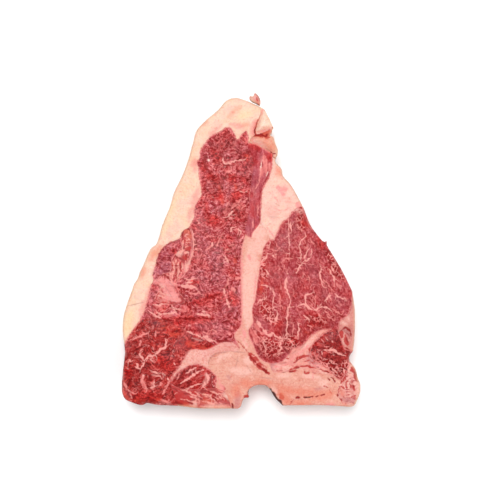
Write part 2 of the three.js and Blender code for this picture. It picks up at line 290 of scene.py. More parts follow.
def flat(points: Array, height: float = 0.0) -> Array:
    """Gives points of the map a height, in a column of its own."""
    return np.column_stack([points, np.full(len(points), height)])


def traced(drawn: str) -> tuple[Points, ...]:
    """Reads lines of the map, written as x,y pairs in mm with a semicolon between two lines."""
    lines = [[pair.split(",") for pair in line.split()] for line in drawn.split(";")]
    return tuple(tuple((float(x), float(y)) for x, y in line) for line in lines)


def placed(points: Points) -> Array:
    """Moves drawn points so that the steak's middle is the origin, at true size."""
    return (np.asarray(points, float) - DRAWN_MIDDLE) * (LENGTH / DRAWN_LENGTH)


def curved(points: Array, fineness: int = 12) -> Array:
    """Runs a centripetal Catmull-Rom curve through points.

    Args:
        points: the points that it passes.
        fineness: samples between two of them.

    Returns:
        Points along the curve.
    """
    if len(points) < 3:
        return points
    ends = np.vstack([2 * points[0] - points[1], points, 2 * points[-1] - points[-2]])
    out = []
    for p0, p1, p2, p3 in zip(ends, ends[1:], ends[2:], ends[3:]):
        spans = (p1 - p0, p2 - p1, p3 - p2)
        before, middle, after = (max(1e-6, math.sqrt(np.linalg.norm(span))) for span in spans)
        leave = ((p1 - p0) / before - (p2 - p0) / (before + middle) + (p2 - p1) / middle) * middle
        arrive = ((p2 - p1) / middle - (p3 - p1) / (middle + after) + (p3 - p2) / after) * middle
        t = (np.arange(fineness) / fineness)[:, None]
        out.append(
            (2 * t**3 - 3 * t**2 + 1) * p1
            + (t**3 - 2 * t**2 + t) * leave
            + (3 * t**2 - 2 * t**3) * p2
            + (t**3 - t**2) * arrive
        )
    return np.vstack([*out, points[-1:]])


def evenly(line: Array, step: float) -> Array:
    """Spaces points evenly along a line.

    Args:
        line: points along the line.
        step: wanted spacing.

    Returns:
        The new points, both ends kept.
    """
    run = np.concatenate([[0], np.cumsum(np.linalg.norm(np.diff(line, axis=0), axis=1))])
    at = np.linspace(0, run[-1], max(1, round(run[-1] / step)) + 1)
    return np.column_stack([np.interp(at, run, line[:, k]) for k in (0, 1)])


def rightward(line: Array) -> Array:
    """Gives the unit normals on the right-hand side of a line."""
    way = np.gradient(line, axis=0)
    way /= np.maximum(np.linalg.norm(way, axis=1), 1e-9)[:, None]
    return np.column_stack([way[:, 1], -way[:, 0]])


def nearest(
    points: Array, starts: Array, ends: Array, halves: Array | None = None, limit: float = FAR
) -> tuple[Array, Array]:
    """Finds the nearest of some segments to each point, one square of the map at a time.

    Args:
        points: rows of x, y.
        starts: each segment's start.
        ends: each segment's end.
        halves: half widths at both ends of each segment, taken off the distance.
        limit: largest distance given.

    Returns:
        The least distance to each point, and the index of that segment.
    """
    span = ends - starts
    length2 = np.maximum((span**2).sum(1), 1e-12)
    low, high = np.minimum(starts, ends), np.maximum(starts, ends)
    least = np.full(len(points), limit)
    which = np.zeros(len(points), int)
    squares = np.floor(points / SQUARE).astype(int) @ (1, 1000)
    order = np.argsort(squares, kind="stable")
    for group in np.split(order, np.flatnonzero(np.diff(squares[order])) + 1):
        block = points[group]
        reach = limit + (0 if halves is None else halves.max())
        close = (low < block.max(0) + reach).all(1) & (high > block.min(0) - reach).all(1)
        near = np.flatnonzero(close)
        if not len(near):
            continue
        gap = block[:, None, :] - starts[near]
        along = np.clip((gap * span[near]).sum(2) / length2[near], 0, 1)
        away = np.sqrt(((gap - along[..., None] * span[near]) ** 2).sum(2))
        if halves is not None:
            away -= halves[near, 0] + along * (halves[near, 1] - halves[near, 0])
        pick = away.argmin(1)
        which[group] = near[pick]
        least[group] = np.minimum(limit, away[np.arange(len(pick)), pick])
    return least, which


def inside(points: Array, loop: Array) -> Array:
    """Tells which points lie inside a loop.

    Args:
        points: rows of x, y.
        loop: the loop's points.

    Returns:
        True for each point inside.
    """
    after = np.roll(loop, -1, axis=0)
    rise = np.where(loop[:, 1] == after[:, 1], 1e-12, after[:, 1] - loop[:, 1])
    found = np.empty(len(points), bool)
    chunk = max(1, AT_ONCE // len(loop))
    for first in range(0, len(points), chunk):
        x = points[first : first + chunk, :1]
        y = points[first : first + chunk, 1:]
        spans = (loop[:, 1] > y) != (after[:, 1] > y)
        beyond = x < loop[:, 0] + (y - loop[:, 1]) / rise * (after[:, 0] - loop[:, 0])
        found[first : first + chunk] = (spans & beyond).sum(1) % 2 == 1
    return found


def shrunk(loop: Array, distance: float) -> Array:
    """Moves a counter-clockwise loop inwards.

    Args:
        loop: the loop's points.
        distance: how far each side moves.

    Returns:
        The moved points.
    """
    def side(a: Array, b: Array) -> Array:
        """Gives the unit normal to the left of the way from a to b."""
        way = b - a
        way = way / np.maximum(np.linalg.norm(way, axis=1), 1e-9)[:, None]
        return np.column_stack([-way[:, 1], way[:, 0]])

    before = side(np.roll(loop, 1, axis=0), loop)
    after = side(loop, np.roll(loop, -1, axis=0))
    middle = before + after
    middle /= np.maximum(np.linalg.norm(middle, axis=1), 1e-9)[:, None]
    return loop + middle * (distance / np.maximum(0.45, (middle * before).sum(1)))[:, None]


@dataclass(frozen=True)
class Ring:
    """A closed loop of the map, counter-clockwise."""

    points: Array
    rind: Array  # for each side of the loop, whether it is part of the steak's outline
    mixed: Array  # for each side, whether meat meets fat or bone there

    def sides(self, keep: Array | None = None) -> tuple[Array, Array]:
        """Gives the starts and ends of the loop's sides.

        Args:
            keep: which sides, or all of them.

        Returns:
            The starts and the ends.
        """
        ends = np.roll(self.points, -1, axis=0)
        return (self.points, ends) if keep is None else (self.points[keep], ends[keep])


class SeamMap:
    """The drawn map of the cut face."""

    RAGGED = 0.42
    RAGGED_SIZE = 3.4
    TAPER = 3.0

    def __init__(self, low: Sequence[float], high: Sequence[float], meat: Sequence[str]) -> None:
        """Draws every seam and the steak's outline.

        Args:
            low: lowest corner of the steak's box, in mm.
            high: highest corner of it.
            meat: the loops of the muscles.
        """
        self.grain = Grain(7)
        self.low, self.high = np.array(low[:2]), np.array(high[:2])
        loops = [name.lstrip("-") for rounds in meat for name in rounds.split()]
        self.mixed = {name for name in INNER_SEAMS if loops.count(name) == 1}
        self.courses = {name: self.course(name) for name in SEAMS}
        self.outline = self.ring(" ".join(OUTER_SEAMS))

    def course(self, name: str) -> Array:
        """Draws one seam, a little ragged between its two ends.

        Args:
            name: the seam.

        Returns:
            Points along it.
        """
        line = evenly(curved(placed(*traced(SEAMS[name]))), SEAM_STEP)
        run = np.arange(len(line)) * SEAM_STEP
        ease = smooth(np.minimum(run, run[-1] - run), 0, self.TAPER)
        sway = self.grain.layered(flat(line), self.RAGGED_SIZE, 3, 0.7) * self.RAGGED
        if name in OUTER_SEAMS:
            sway = np.abs(sway) * 0.5
        return np.clip(line + rightward(line) * (sway * ease)[:, None], self.low, self.high)

    def ring(self, names: str) -> Ring:
        """Joins seams end to end.

        Args:
            names: the seams in order, a minus before one that runs backwards.

        Returns:
            The closed ring.
        """
        points, rind, mixed = [], [], []
        for name in names.split():
            line = self.courses[name.lstrip("-")]
            line = line[::-1] if name.startswith("-") else line
            points.append(line[:-1])
            rind.append(np.full(len(line) - 1, name.lstrip("-") in OUTER_SEAMS))
            mixed.append(np.full(len(line) - 1, name.lstrip("-") in self.mixed))
        return closed(np.vstack(points), np.concatenate(rind), np.concatenate(mixed))


def closed(points: Array, rind: Array, mixed: Array) -> Ring:
    """Makes a counter-clockwise ring of a loop that turns either way.

    Args:
        points: the loop.
        rind: whether each side is part of the outline.
        mixed: whether meat meets fat or bone at each side.

    Returns:
        The ring.
    """
    after = np.roll(points, -1, axis=0)
    area = (points[:, 0] * after[:, 1] - after[:, 0] * points[:, 1]).sum()
    if area < 0:
        points, rind, mixed = points[::-1], np.roll(rind[::-1], -1), np.roll(mixed[::-1], -1)
    return Ring(points, rind, mixed)


class Tint(Enum):
    """The colours that marks on a cut face can have, the lowest layer first."""

    YELLOW = "yellow"
    DEEP = "deep"
    PALE = "pale"
    MAUVE = "mauve"
    CREAM = "cream"
    RED = "red"
    ORANGE = "orange"
    BLUSH = "blush"
    PINK = "pink"
    GREY = "grey"
    FAT = "fat"
    DARK = "dark"
    # Painted shade: near-black for the shade inside the canal's notch and deep in slits
    PIT = "pit"
    MARBLED = "marbled"


# How far marks of a tint stray sideways, and how many side twigs they have for each mm
STRAY = {Tint.FAT: 0.22, Tint.PINK: 0.2, Tint.DARK: 0.2, Tint.RED: 0.15, Tint.PIT: 0.1}
TWIGS = {Tint.FAT: 0.25, Tint.PINK: 0.15}


class Mix(Enum):
    """How one colour is laid over another."""

    OVER = "MIX"
    DARKEN = "MULTIPLY"
    LIGHTEN = "SCREEN"


@dataclass(frozen=True)
class TintLook:
    """How a mark is painted: its colour, edge and strength, and how it mixes with what it lies on."""

    colour: Colour
    soft: float
    wobble: float
    strength: float
    mix: Mix = Mix.OVER


MEAT_LOOKS = {
    Tint.DEEP: TintLook((228, 210, 210), 4.0, 6.0, 0.9, Mix.DARKEN),
    Tint.PALE: TintLook((110, 72, 74), 4.0, 6.0, 0.8, Mix.LIGHTEN),
    Tint.MAUVE: TintLook((40, 70, 76), 4.0, 7.0, 0.42, Mix.LIGHTEN),
    Tint.RED: TintLook((255, 148, 139), 2.0, 4.0, 0.8, Mix.DARKEN),
    Tint.ORANGE: TintLook((230, 86, 69), 0.9, 5.0, 0.46),
    Tint.BLUSH: TintLook((234, 128, 123), 0.8, 3.4, 0.7),
    Tint.PINK: TintLook((242, 144, 138), 0.35, 0.9, 0.8),
    Tint.GREY: TintLook((216, 146, 138), 0.5, 2.8, 0.6),
    Tint.FAT: TintLook((249, 168, 159), 0.3, 0.8, 0.87),
    Tint.CREAM: TintLook((252, 208, 196), 0.4, 0.8, 0.9),
    Tint.DARK: TintLook((140, 18, 20), 0.5, 1.4, 0.75),
}
# The dark, red and orange looks paint real colour, and also painted shade in the folds' crease
FAT_LOOKS = {
    Tint.YELLOW: TintLook((250, 218, 172), 2.8, 3.0, 0.6),
    Tint.MAUVE: TintLook((200, 124, 126), 1.6, 3.0, 0.6),
    Tint.CREAM: TintLook((246, 191, 177), 1.8, 3.0, 0.85),
    Tint.RED: TintLook((188, 46, 44), 0.5, 2.0, 0.92),
    Tint.ORANGE: TintLook((232, 120, 92), 2.6, 4.0, 0.55),
    Tint.BLUSH: TintLook((242, 152, 148), 0.8, 3.0, 0.84),
    Tint.PINK: TintLook((238, 150, 142), 1.4, 2.6, 0.6),
    Tint.GREY: TintLook((180, 118, 112), 0.4, 1.0, 0.5),
    Tint.FAT: TintLook((246, 166, 154), 0.4, 1.0, 0.85),
    Tint.DARK: TintLook((154, 14, 0), 0.4, 1.0, 0.96),
    # The pit look is painted shade, near-black in hollows
    Tint.PIT: TintLook((74, 14, 12), 0.45, 0.9, 0.95),
}


@dataclass(frozen=True)
class Mark:
    """A vein, slit, smear or patch of the cut face, drawn along points on the map."""

    tint: Tint
    width: float
    points: Points
    depth: float = 0.0
    taper: float = 0.7
    ragged: float | None = None
    twigs: float | None = None

    STEP = 0.6
    EASING = (0.5, 0.8, 0.5)
    TWIG_STEPS = 5
    TWIG_HALVES = (0.32, 0.1)

    def strip(self) -> tuple[Array, Array, Array]:
        """Cuts the mark and its side twigs into short straight segments.

        Returns:
            Their starts, their ends and the half widths at both.
        """
        ragged = STRAY.get(self.tint, 0.0) if self.ragged is None else self.ragged
        twigs = TWIGS.get(self.tint, 0.0) if self.twigs is None else self.twigs
        rng = np.random.default_rng(round(7 * self.points[0][0] - 13 * self.points[0][1]) % 9973)
        line = evenly(curved(placed(self.points)), self.STEP)
        share = np.abs(np.linspace(-1, 1, len(line)))
        half = self.width / 2 * (1 - self.taper * share**3)
        if ragged:
            raw = [rng.normal(size=len(line) + 2) for _ in range(2)]
            wave, pulse = (np.convolve(noise, self.EASING, "valid") for noise in raw)
            line = line + rightward(line) * (wave * ragged * smooth(share, 1, 0.8))[:, None]
            half = half * np.clip(1 + 0.32 * pulse, 0.4, 1.5)
        parts = [(line, half)]
        for at in rng.integers(1, len(line), rng.poisson(twigs * len(line) * self.STEP)):
            way = line[at] - line[at - 1]
            side = rng.uniform(0.5, 1.4) * rng.choice((-1, 1))
            turn = side + np.cumsum(rng.normal(0, 0.35, self.TWIG_STEPS))
            heading = math.atan2(way[1], way[0]) + turn
            steps = np.column_stack([np.cos(heading), np.sin(heading)]) * rng.uniform(0.3, 1.0)
            twig = line[at] + np.cumsum(np.vstack([[0, 0], steps]), axis=0)
            parts.append((twig, np.linspace(*self.TWIG_HALVES, self.TWIG_STEPS + 1)))
        return (
            np.vstack([line[:-1] for line, _ in parts]),
            np.vstack([line[1:] for line, _ in parts]),
            np.vstack([np.column_stack([half[:-1], half[1:]]) for _, half in parts]),
        )


Marks = tuple[Mark, ...]


def sketch(drawn: str) -> Marks:
    """Reads marks from rows of text, such as "fat 0.9 depth=0.4: 17,15 9,14; 14,8 14,2".

    Args:
        drawn: rows with a tint, the width in mm, other fields of a mark, a colon and the marks' lines.

    Returns:
        The marks in their order.
    """
    marks = []
    for row in drawn.strip().splitlines():
        head, lines = row.split(":")
        tint, width, *others = head.split()
        fields = {name: float(value) for name, value in (other.split("=") for other in others)}
        marks.extend(Mark(Tint(tint), float(width), line, **fields) for line in traced(lines))
    return tuple(marks)


def distance_to_marks(points: Array, marks: Sequence[Mark], limit: float = 6.0) -> Array:
    """Measures how far points lie outside the nearest of some marks.

    Args:
        points: rows of x, y.
        marks: the marks.
        limit: largest value given.

    Returns:
        Distances, below 0 inside a mark.
    """
    if not marks:
        return np.full(len(points), limit)
    starts, ends, halves = (np.vstack(part) for part in zip(*[mark.strip() for mark in marks]))
    return np.maximum(nearest(points, starts, ends, halves, limit)[0], -limit)


class Graph:
    """The nodes of one material, with every size in millimetres."""

    FLECK = (236, 190, 184)

    def __init__(self, name: str) -> None:
        """Opens a new material.

        Args:
            name: the material's name.
        """
        self.material = bpy.data.materials.new(name)
        self.material.use_nodes = True
        self.tree = self.material.node_tree
        self.shader = self.tree.nodes["Principled BSDF"]
        spot = self.tree.nodes.new("ShaderNodeTexCoord").outputs["Object"]
        self.place = self.scaled(spot, 1 / MM)

    def node(self, kind: str, inputs: dict[str | int, object], **settings: object) -> bpy.types.Node:
        """Adds a node.

        Args:
            kind: its type.
            inputs: sockets by name or number, with a value or another node's output.
            settings: the node's own settings.

        Returns:
            The node.
        """
        node = self.tree.nodes.new(kind)
        for key, value in settings.items():
            setattr(node, key, value)
        for key, value in inputs.items():
            if isinstance(value, Socket):
                self.tree.links.new(value, node.inputs[key])
            else:
                node.inputs[key].default_value = value
        return node

    def scaled(self, vector: Socket, factor: float) -> Socket:
        """Multiplies a vector by a number."""
        return self.node("ShaderNodeVectorMath", {0: vector, "Scale": factor}, operation="SCALE").outputs[0]

    def math(self, operation: str, a: Value, b: Value = 0.0, c: Value = 0.0) -> Socket:
        """Works out one sum, such as SUBTRACT or MULTIPLY."""
        return self.node("ShaderNodeMath", {0: a, 1: b, 2: c}, operation=operation).outputs[0]

    def times_plus(self, a: Value, b: Value, c: Value) -> Socket:
        """Multiplies a by b and adds c."""
        return self.math("MULTIPLY_ADD", a, b, c)

    def times(self, *values: Value) -> Socket:
        """Multiplies numbers."""
        total = values[0]
        for value in values[1:]:
            total = self.math("MULTIPLY", total, value)
        return total

    def noise(self, at: Socket, size: float, detail: float = 2.0, rough: float = 0.5) -> Socket:
        """Gives noise between 0 and 1 whose bumps are size wide."""
        inputs = {"Vector": at, "Scale": 1 / size, "Detail": detail, "Roughness": rough}
        return self.node("ShaderNodeTexNoise", inputs).outputs[0]

    def swing(self, at: Socket, size: float, detail: float = 2.0, rough: float = 0.5) -> Socket:
        """Gives the same noise between -0.5 and 0.5."""
        return self.math("SUBTRACT", self.noise(at, size, detail, rough), 0.5)

    def cells(self, at: Socket, size: float, feature: str = "F1") -> bpy.types.Node:
        """Gives a pattern of cells that are size wide."""
        return self.node("ShaderNodeTexVoronoi", {"Vector": at, "Scale": 1 / size}, feature=feature)

    def edges(self, at: Socket, size: float) -> Socket:
        """Gives the distance to the edges of such cells."""
        return self.cells(at, size, "DISTANCE_TO_EDGE").outputs["Distance"]

    def warped(self, at: Socket, size: float, reach: float) -> Socket:
        """Shifts a position by smooth noise.

        Args:
            at: the position.
            size: width of the noise's bumps.
            reach: farthest shift.

        Returns:
            The shifted position.
        """
        colour = self.node("ShaderNodeTexNoise", {"Vector": at, "Scale": 1 / size, "Detail": 1.0}).outputs[1]
        centred = self.node("ShaderNodeVectorMath", {0: colour, 1: (0.5, 0.5, 0.5)}, operation="SUBTRACT")
        shift = self.scaled(centred.outputs[0], 2 * reach)
        return self.node("ShaderNodeVectorMath", {0: at, 1: shift}).outputs[0]

    def combed(self, at: Socket, angle: float, along: float, deep: float = 1.0) -> Socket:
        """Stretches a pattern along one direction of the face, and through the thickness.

        Args:
            at: the position.
            angle: the direction, in degrees from the map's right.
            along: how much longer the pattern is that way.
            deep: how much longer it is through the thickness.

        Returns:
            The position to feed the pattern.
        """
        inputs = {"Vector": at, "Rotation": (0, 0, math.radians(angle)), "Scale": (along, 1, deep)}
        return self.node("ShaderNodeMapping", inputs, vector_type="TEXTURE").outputs[0]

    def fade(self, value: Value, low: float, high: float) -> Socket:
        """Rises smoothly from 0 at low to 1 at high, or falls where low is the larger."""
        inputs = {"Value": value, "From Min": low, "From Max": high}
        return self.node("ShaderNodeMapRange", inputs, interpolation_type="SMOOTHSTEP").outputs[0]

    def blend(self, share: Value, under: Paint, over: Paint, mix: Mix = Mix.OVER) -> Socket:
        """Lays one colour over another.

        Args:
            share: how much of the upper colour shows.
            under: the lower colour, as a socket or screen values.
            over: the upper colour, as a socket or screen values.
            mix: how it is laid.

        Returns:
            The mixed colour.
        """
        turn = linear if mix is Mix.DARKEN else painted
        under, over = (c if isinstance(c, Socket) else turn(*c) for c in (under, over))
        inputs = {0: share, 6: under, 7: over}
        return self.node("ShaderNodeMix", inputs, data_type="RGBA", blend_type=mix.value).outputs[2]

    def ramp(self, value: Socket, *stops: tuple[float, Colour]) -> Socket:
        """Turns a number into a colour.

        Args:
            value: the number.
            stops: positions and their screen colours, in order.

        Returns:
            The colour.
        """
        node = self.node("ShaderNodeValToRGB", {0: value})
        node.color_ramp.interpolation = "LINEAR"
        for element, (position, colour) in zip(node.color_ramp.elements, (stops[0], stops[-1])):
            element.position, element.color = position, painted(*colour)
        for position, colour in stops[1:-1]:
            node.color_ramp.elements.new(position).color = painted(*colour)
        return node.outputs[0]

    def field(self, name: str) -> Socket:
        """Reads a number stored at the mesh's points."""
        return self.node("ShaderNodeAttribute", {}, attribute_name=name).outputs["Fac"]

    def marked(
        self, colour: Socket, tints: Sequence[Tint], looks: dict[Tint, TintLook], flecks: float = 0.3
    ) -> Socket:
        """Paints the marks of a face over its colour, and fine pinkish flecks over both.

        Args:
            colour: the colour so far.
            tints: which tints the face has.
            looks: how each is painted.
            flecks: strength of the flecks.

        Returns:
            The painted colour.
        """
        for tint in (tint for tint in tints if tint in looks):
            look = looks[tint]
            sway = self.swing(self.place, 0.9 + look.soft * 1.6, 3, 0.6)
            reach = self.times_plus(sway, look.wobble, self.field(tint.value))
            share = self.fade(reach, look.soft, -look.soft)
            colour = self.blend(self.times(share, look.strength), colour, look.colour, look.mix)
        fleck = self.fade(self.noise(self.place, 1.3, 4, 0.75), 0.44, 0.66)
        return self.blend(self.times(fleck, flecks), colour, self.FLECK, Mix.DARKEN)

    def finish(self, colour: Socket, roughness: Socket, height: Socket, **settings: float) -> Material:
        """Joins the patterns to the shader.

        Args:
            colour: base colour.
            roughness: roughness.
            height: relief, in mm.
            settings: the shader's sockets that are the same all over, with underscores for spaces.

        Returns:
            The material.
        """
        bump = self.node("ShaderNodeBump", {"Height": height, "Distance": MM, "Strength": 1.0})
        self.tree.links.new(colour, self.shader.inputs["Base Color"])
        self.tree.links.new(roughness, self.shader.inputs["Roughness"])
        self.tree.links.new(bump.outputs[0], self.shader.inputs["Normal"])
        for key, value in settings.items():
            self.shader.inputs[key.replace("_", " ")].default_value = value
        return self.material


@dataclass(frozen=True)
class Lean:
    """Cut muscle: mottled bundles of fibre with fine threads of fat and dark slits between, wet on top."""

    deepest: Colour = (126, 6, 10)
    deep: Colour = (158, 38, 42)
    middle: Colour = (188, 72, 76)
    light: Colour = (217, 113, 116)
    lightest: Colour = (246, 152, 149)
    seam: Colour = (226, 116, 114)
    thread: Colour = (246, 152, 146)
    slit: Colour = (128, 14, 20)
    red: Colour = (255, 160, 146)
    mauve: Colour = (220, 226, 255)
    wine: Colour = (230, 136, 138)
    angle: float = 0.0
    comb: float = 1.4
    swirl: float = 5.0
    mottle: float = 1.0
    bundle: float = 2.2
    grain: float = 0.6
    threads: float = 0.5
    slits: float = 0.7
    marbled: float = 0.92
    bloom: float = 0.35
    redness: float = 0.6
    roughness: float = 0.5
    membrane: Colour = (206, 140, 134)

    SECOND = 1.04  # scale of the pale threads' pattern, so that it differs from the slits'

    def threads_of(self, g: Graph, at: Socket, size: float, thin: float, cover: float) -> Socket:
        """Draws a broken tangle of fine curved lines.

        Args:
            g: the material's nodes.
            at: the position.
            size: width of its loops.
            thin: half width of a line, as a share of the noise.
            cover: how much of the face has them, from 0 to 1.

        Returns:
            How much of a line shows at each point.
        """
        ridge = g.math("ABSOLUTE", g.swing(at, size, 2, 0.55))
        broken = g.noise(at, size * 0.7, 1)
        low = 0.62 - 0.24 * cover
        return g.times(g.fade(ridge, thin, thin * 0.25), g.fade(broken, low, low + 0.08))

    def dress(self, name: str, tints: Sequence[Tint]) -> Material:
        """Makes the material of one muscle.

        Args:
            name: the muscle.
            tints: the tints of its marks.

        Returns:
            The material.
        """
        g = Graph(name + "_lean")
        bent = g.warped(g.warped(g.place, 13.0, self.swirl), 3.6, 0.9)
        fibre = g.combed(bent, self.angle, self.comb, 3.6)
        broad = g.swing(g.place, 9.0)
        mottle = g.swing(fibre, self.bundle, 3, 0.7)
        speck = g.swing(bent, 1.3, 1, 0.6)
        own = g.node("ShaderNodeSeparateColor", {0: g.cells(fibre, self.bundle).outputs["Color"]}).outputs[0]
        tone = g.times_plus(broad, 0.4, 0.48 - 0.14 * self.mottle)
        tone = g.times_plus(mottle, 1.5 * self.mottle, tone)
        tone = g.times_plus(speck, 1.1 * self.mottle, tone)
        tone = g.times_plus(own, 0.28 * self.mottle, tone)
        colour = g.ramp(
            tone, (0.04, self.deepest), (0.27, self.deep), (0.5, self.middle), (0.73, self.light),
            (0.96, self.lightest),
        )
        haze = g.noise(bent, 11.0, 2, 0.6)
        colour = g.blend(g.times(g.fade(haze, 0.48, 0.64), self.bloom), colour, self.mauve, Mix.DARKEN)
        colour = g.blend(g.times(g.fade(haze, 0.5, 0.34), self.redness), colour, self.red, Mix.DARKEN)
        edges = g.edges(fibre, self.bundle)
        whole = g.fade(g.noise(bent, 2.6, 2), 0.44, 0.6)
        colour = g.blend(g.times(g.fade(edges, 0.13, 0.02), whole, self.grain), colour, self.seam)
        dark = self.threads_of(g, fibre, 4.2, 0.05, 0.7)
        colour = g.blend(g.times(dark, self.slits), colour, self.slit)
        pale = self.threads_of(g, g.scaled(fibre, self.SECOND), 5.2, 0.034, 0.5)
        colour = g.blend(g.times(pale, self.threads), colour, self.thread)
        if Tint.MARBLED in tints:
            reach = g.times_plus(g.noise(g.place, 4.0, 2), 4.0, g.field(Tint.MARBLED.value))
            patch = g.fade(reach, 3.6, 1.4)
            colour = g.blend(patch, colour, self.wine, Mix.DARKEN)
            net = g.edges(g.warped(g.place, 2.4, 1.1), 2.9)
            ragged = g.times_plus(g.noise(g.place, 1.2, 3), 0.16, net)
            share = g.times(patch, g.fade(ragged, 0.2, 0.12), self.marbled)
            broken = g.fade(g.noise(g.place, 3.4, 1), 0.36, 0.48)
            colour = g.blend(g.times(share, broken), colour, self.thread)
        fringe = g.times_plus(g.noise(g.place, 1.8, 3, 0.6), 2.6, g.field("rim"))
        colour = g.blend(g.times(g.fade(fringe, 2.3, 1.2), 0.75), colour, self.thread)
        colour = g.marked(colour, tints, MEAT_LOOKS, 0.12)
        film = g.fade(g.noise(g.combed(g.place, 0, 1.0, 4.0), 6.0, 4, 0.6), 0.42, 0.62)
        colour = g.blend(g.times(g.field("skin"), film, 0.75), colour, self.membrane)
        wet = g.fade(g.noise(g.place, 1.7, 2), 0.6, 0.45)
        rough = g.times_plus(wet, 0.3, self.roughness - 0.12)
        height = g.times_plus(mottle, 0.24, g.times(speck, 0.06))
        height = g.times_plus(g.math("SUBTRACT", pale, dark), 0.1, height)
        return g.finish(colour, rough, height, Coat_Weight=0.05, Coat_Roughness=0.25, Specular_IOR_Level=0.12)


@dataclass(frozen=True)
class Fat:
    """Firm fat: cream to pink with faint lobules, bleeding pink where it meets the meat."""

    warm: Colour = (247, 200, 169)
    cream: Colour = (247, 205, 181)
    blush: Colour = (244, 192, 174)
    pink: Colour = (238, 168, 152)
    meat: Colour = (204, 88, 88)
    # rind colour on the outer walls, also painted shade as a thin line round the rim
    membrane: Colour = (232, 188, 158)
    lobule: float = 3.4
    bleed: float = 2.4
    fuzz: float = 0.14
    streaks: float = 0.0
    streak: Colour = (198, 66, 66)
    streak_deep: Colour = (150, 40, 44)
    streak_size: float = 4.0
    flecks: float = 0.5
    angle: float = 0.0
    comb: float = 2.5
    roughness: float = 0.45

    def dress(self, name: str, tints: Sequence[Tint]) -> Material:
        """Makes the material of one body of fat.

        Args:
            name: the piece.
            tints: the tints of its marks.

        Returns:
            The material.
        """
        g = Graph(name + "_fat")
        bent = g.warped(g.place, 7.0, 2.4)
        broad = g.noise(bent, 11.0, 3, 0.55)
        colour = g.ramp(broad, (0.34, self.warm), (0.5, self.cream), (0.66, self.blush))
        fuzz = g.swing(bent, 1.8, 4, 0.7)
        colour = g.blend(g.fade(fuzz, 0.02, 0.02 + 1.4 * self.fuzz), colour, self.pink)
        grains = g.cells(bent, self.lobule)
        tone = g.node("ShaderNodeSeparateColor", {0: grains.outputs["Color"]}).outputs[0]
        colour = g.blend(g.times(g.fade(tone, 0.4, 1.0), 0.16), colour, self.blush)
        seams = g.edges(bent, self.lobule)
        faint = g.fade(g.noise(g.place, 6.0, 2), 0.5, 0.65)
        colour = g.blend(g.times(g.fade(seams, 0.07, 0.0), faint, 0.3), colour, self.pink)
        edge = g.times_plus(g.noise(g.place, 2.6, 3), 3.2, g.field("rim"))
        colour = g.blend(g.times(g.fade(edge, 1.4 + self.bleed, 1.4), 0.5), colour, self.pink)
        fingers = g.times_plus(g.noise(g.place, 1.7, 3, 0.6), 2.6, g.field("rim"))
        colour = g.blend(g.times(g.fade(fingers, 1.75, 1.25), 0.8), colour, self.meat)
        if self.streaks:
            lie = g.combed(bent, self.angle, self.comb, 4.0)
            strands = g.noise(lie, self.streak_size, 4, 0.62)
            share = g.fade(strands, 0.62 - 0.25 * self.streaks, 0.68 - 0.25 * self.streaks)
            meat = g.ramp(g.noise(lie, 1.6, 3), (0.3, self.streak_deep), (0.7, self.streak))
            colour = g.blend(g.times(share, 0.85), colour, meat)
        colour = g.marked(colour, tints, FAT_LOOKS, self.flecks)
        # Rind colour on the outer walls; round the rim of the cut face it also paints a thin darker line,
        # painted shade of the rounded edge
        film = g.times_plus(g.fade(g.noise(g.place, 5.0, 4, 0.6), 0.35, 0.65), 0.5, 0.25)
        colour = g.blend(g.times(g.field("skin"), film), colour, self.membrane)
        rough = g.times_plus(g.noise(g.place, 3.0, 2), 0.24, self.roughness - 0.12)
        bumps = g.times(g.noise(g.place, 1.1, 3, 0.6), 0.2)
        height = g.times_plus(g.fade(seams, 0.0, 0.3), 0.06, bumps)
        return g.finish(
            colour, rough, height, Coat_Weight=0.06, Coat_Roughness=0.3, Specular_IOR_Level=0.18,
            Subsurface_Weight=0.12, Subsurface_Scale=0.0018,
        )


@dataclass(frozen=True)
class SawnBone:
    """Sawn vertebra: damp pinkish spongy bone with a paler rim and fine saw lines."""

    pale: Colour = (237, 176, 156)
    flesh: Colour = (232, 164, 145)
    warm: Colour = (222, 140, 118)
    rim: Colour = (236, 158, 146)
    pore: Colour = (190, 96, 84)
    blush: Colour = (220, 122, 110)
    chalk: Colour = (248, 192, 177)
    saw_angle: float = 4.0
    roughness: float = 0.5

    def dress(self, name: str, tints: Sequence[Tint]) -> Material:
        """Makes the bone's material.

        Args:
            name: the piece.
            tints: the tints of its marks.

        Returns:
            The material.
        """
        g = Graph(name + "_sawn")
        bent = g.warped(g.place, 8.0, 2.0)
        colour = g.ramp(g.noise(bent, 15.0, 3, 0.55), (0.3, self.pale), (0.5, self.flesh), (0.72, self.warm))
        mist = g.fade(g.noise(g.place, 1.6, 4, 0.75), 0.5, 0.7)
        colour = g.blend(g.times(mist, 0.78), colour, self.blush)
        chalk = g.fade(g.noise(bent, 2.2, 4, 0.75), 0.5, 0.66)
        colour = g.blend(g.times(chalk, 0.6), colour, self.chalk)
        pores = g.cells(bent, 1.1)
        hole = g.fade(pores.outputs["Distance"], 0.34, 0.14)
        colour = g.blend(g.times(hole, g.fade(g.noise(bent, 6.0, 2), 0.45, 0.65), 0.5), colour, self.pore)
        edge = g.times_plus(g.noise(g.place, 3.0, 2), 1.4, g.field("rim"))
        colour = g.blend(g.times(g.fade(edge, 2.2, 1.2), 0.45), colour, self.rim)
        lines = g.noise(g.combed(g.place, self.saw_angle, 40.0), 0.8, 2)
        colour = g.blend(g.times(g.fade(lines, 0.5, 0.75), 0.18), colour, self.pore)
        colour = g.marked(colour, tints, FAT_LOOKS, 0.4)
        rough = g.times_plus(g.noise(g.place, 4.0, 2), 0.25, self.roughness - 0.12)
        height = g.times_plus(g.times(hole, -1.0), 0.12, g.times(lines, 0.1))
        return g.finish(
            colour, rough, height, Coat_Weight=0.05, Coat_Roughness=0.3, Specular_IOR_Level=0.18,
            Subsurface_Weight=0.08, Subsurface_Scale=0.0012,
        )


Finish = Lean | Fat | SawnBone


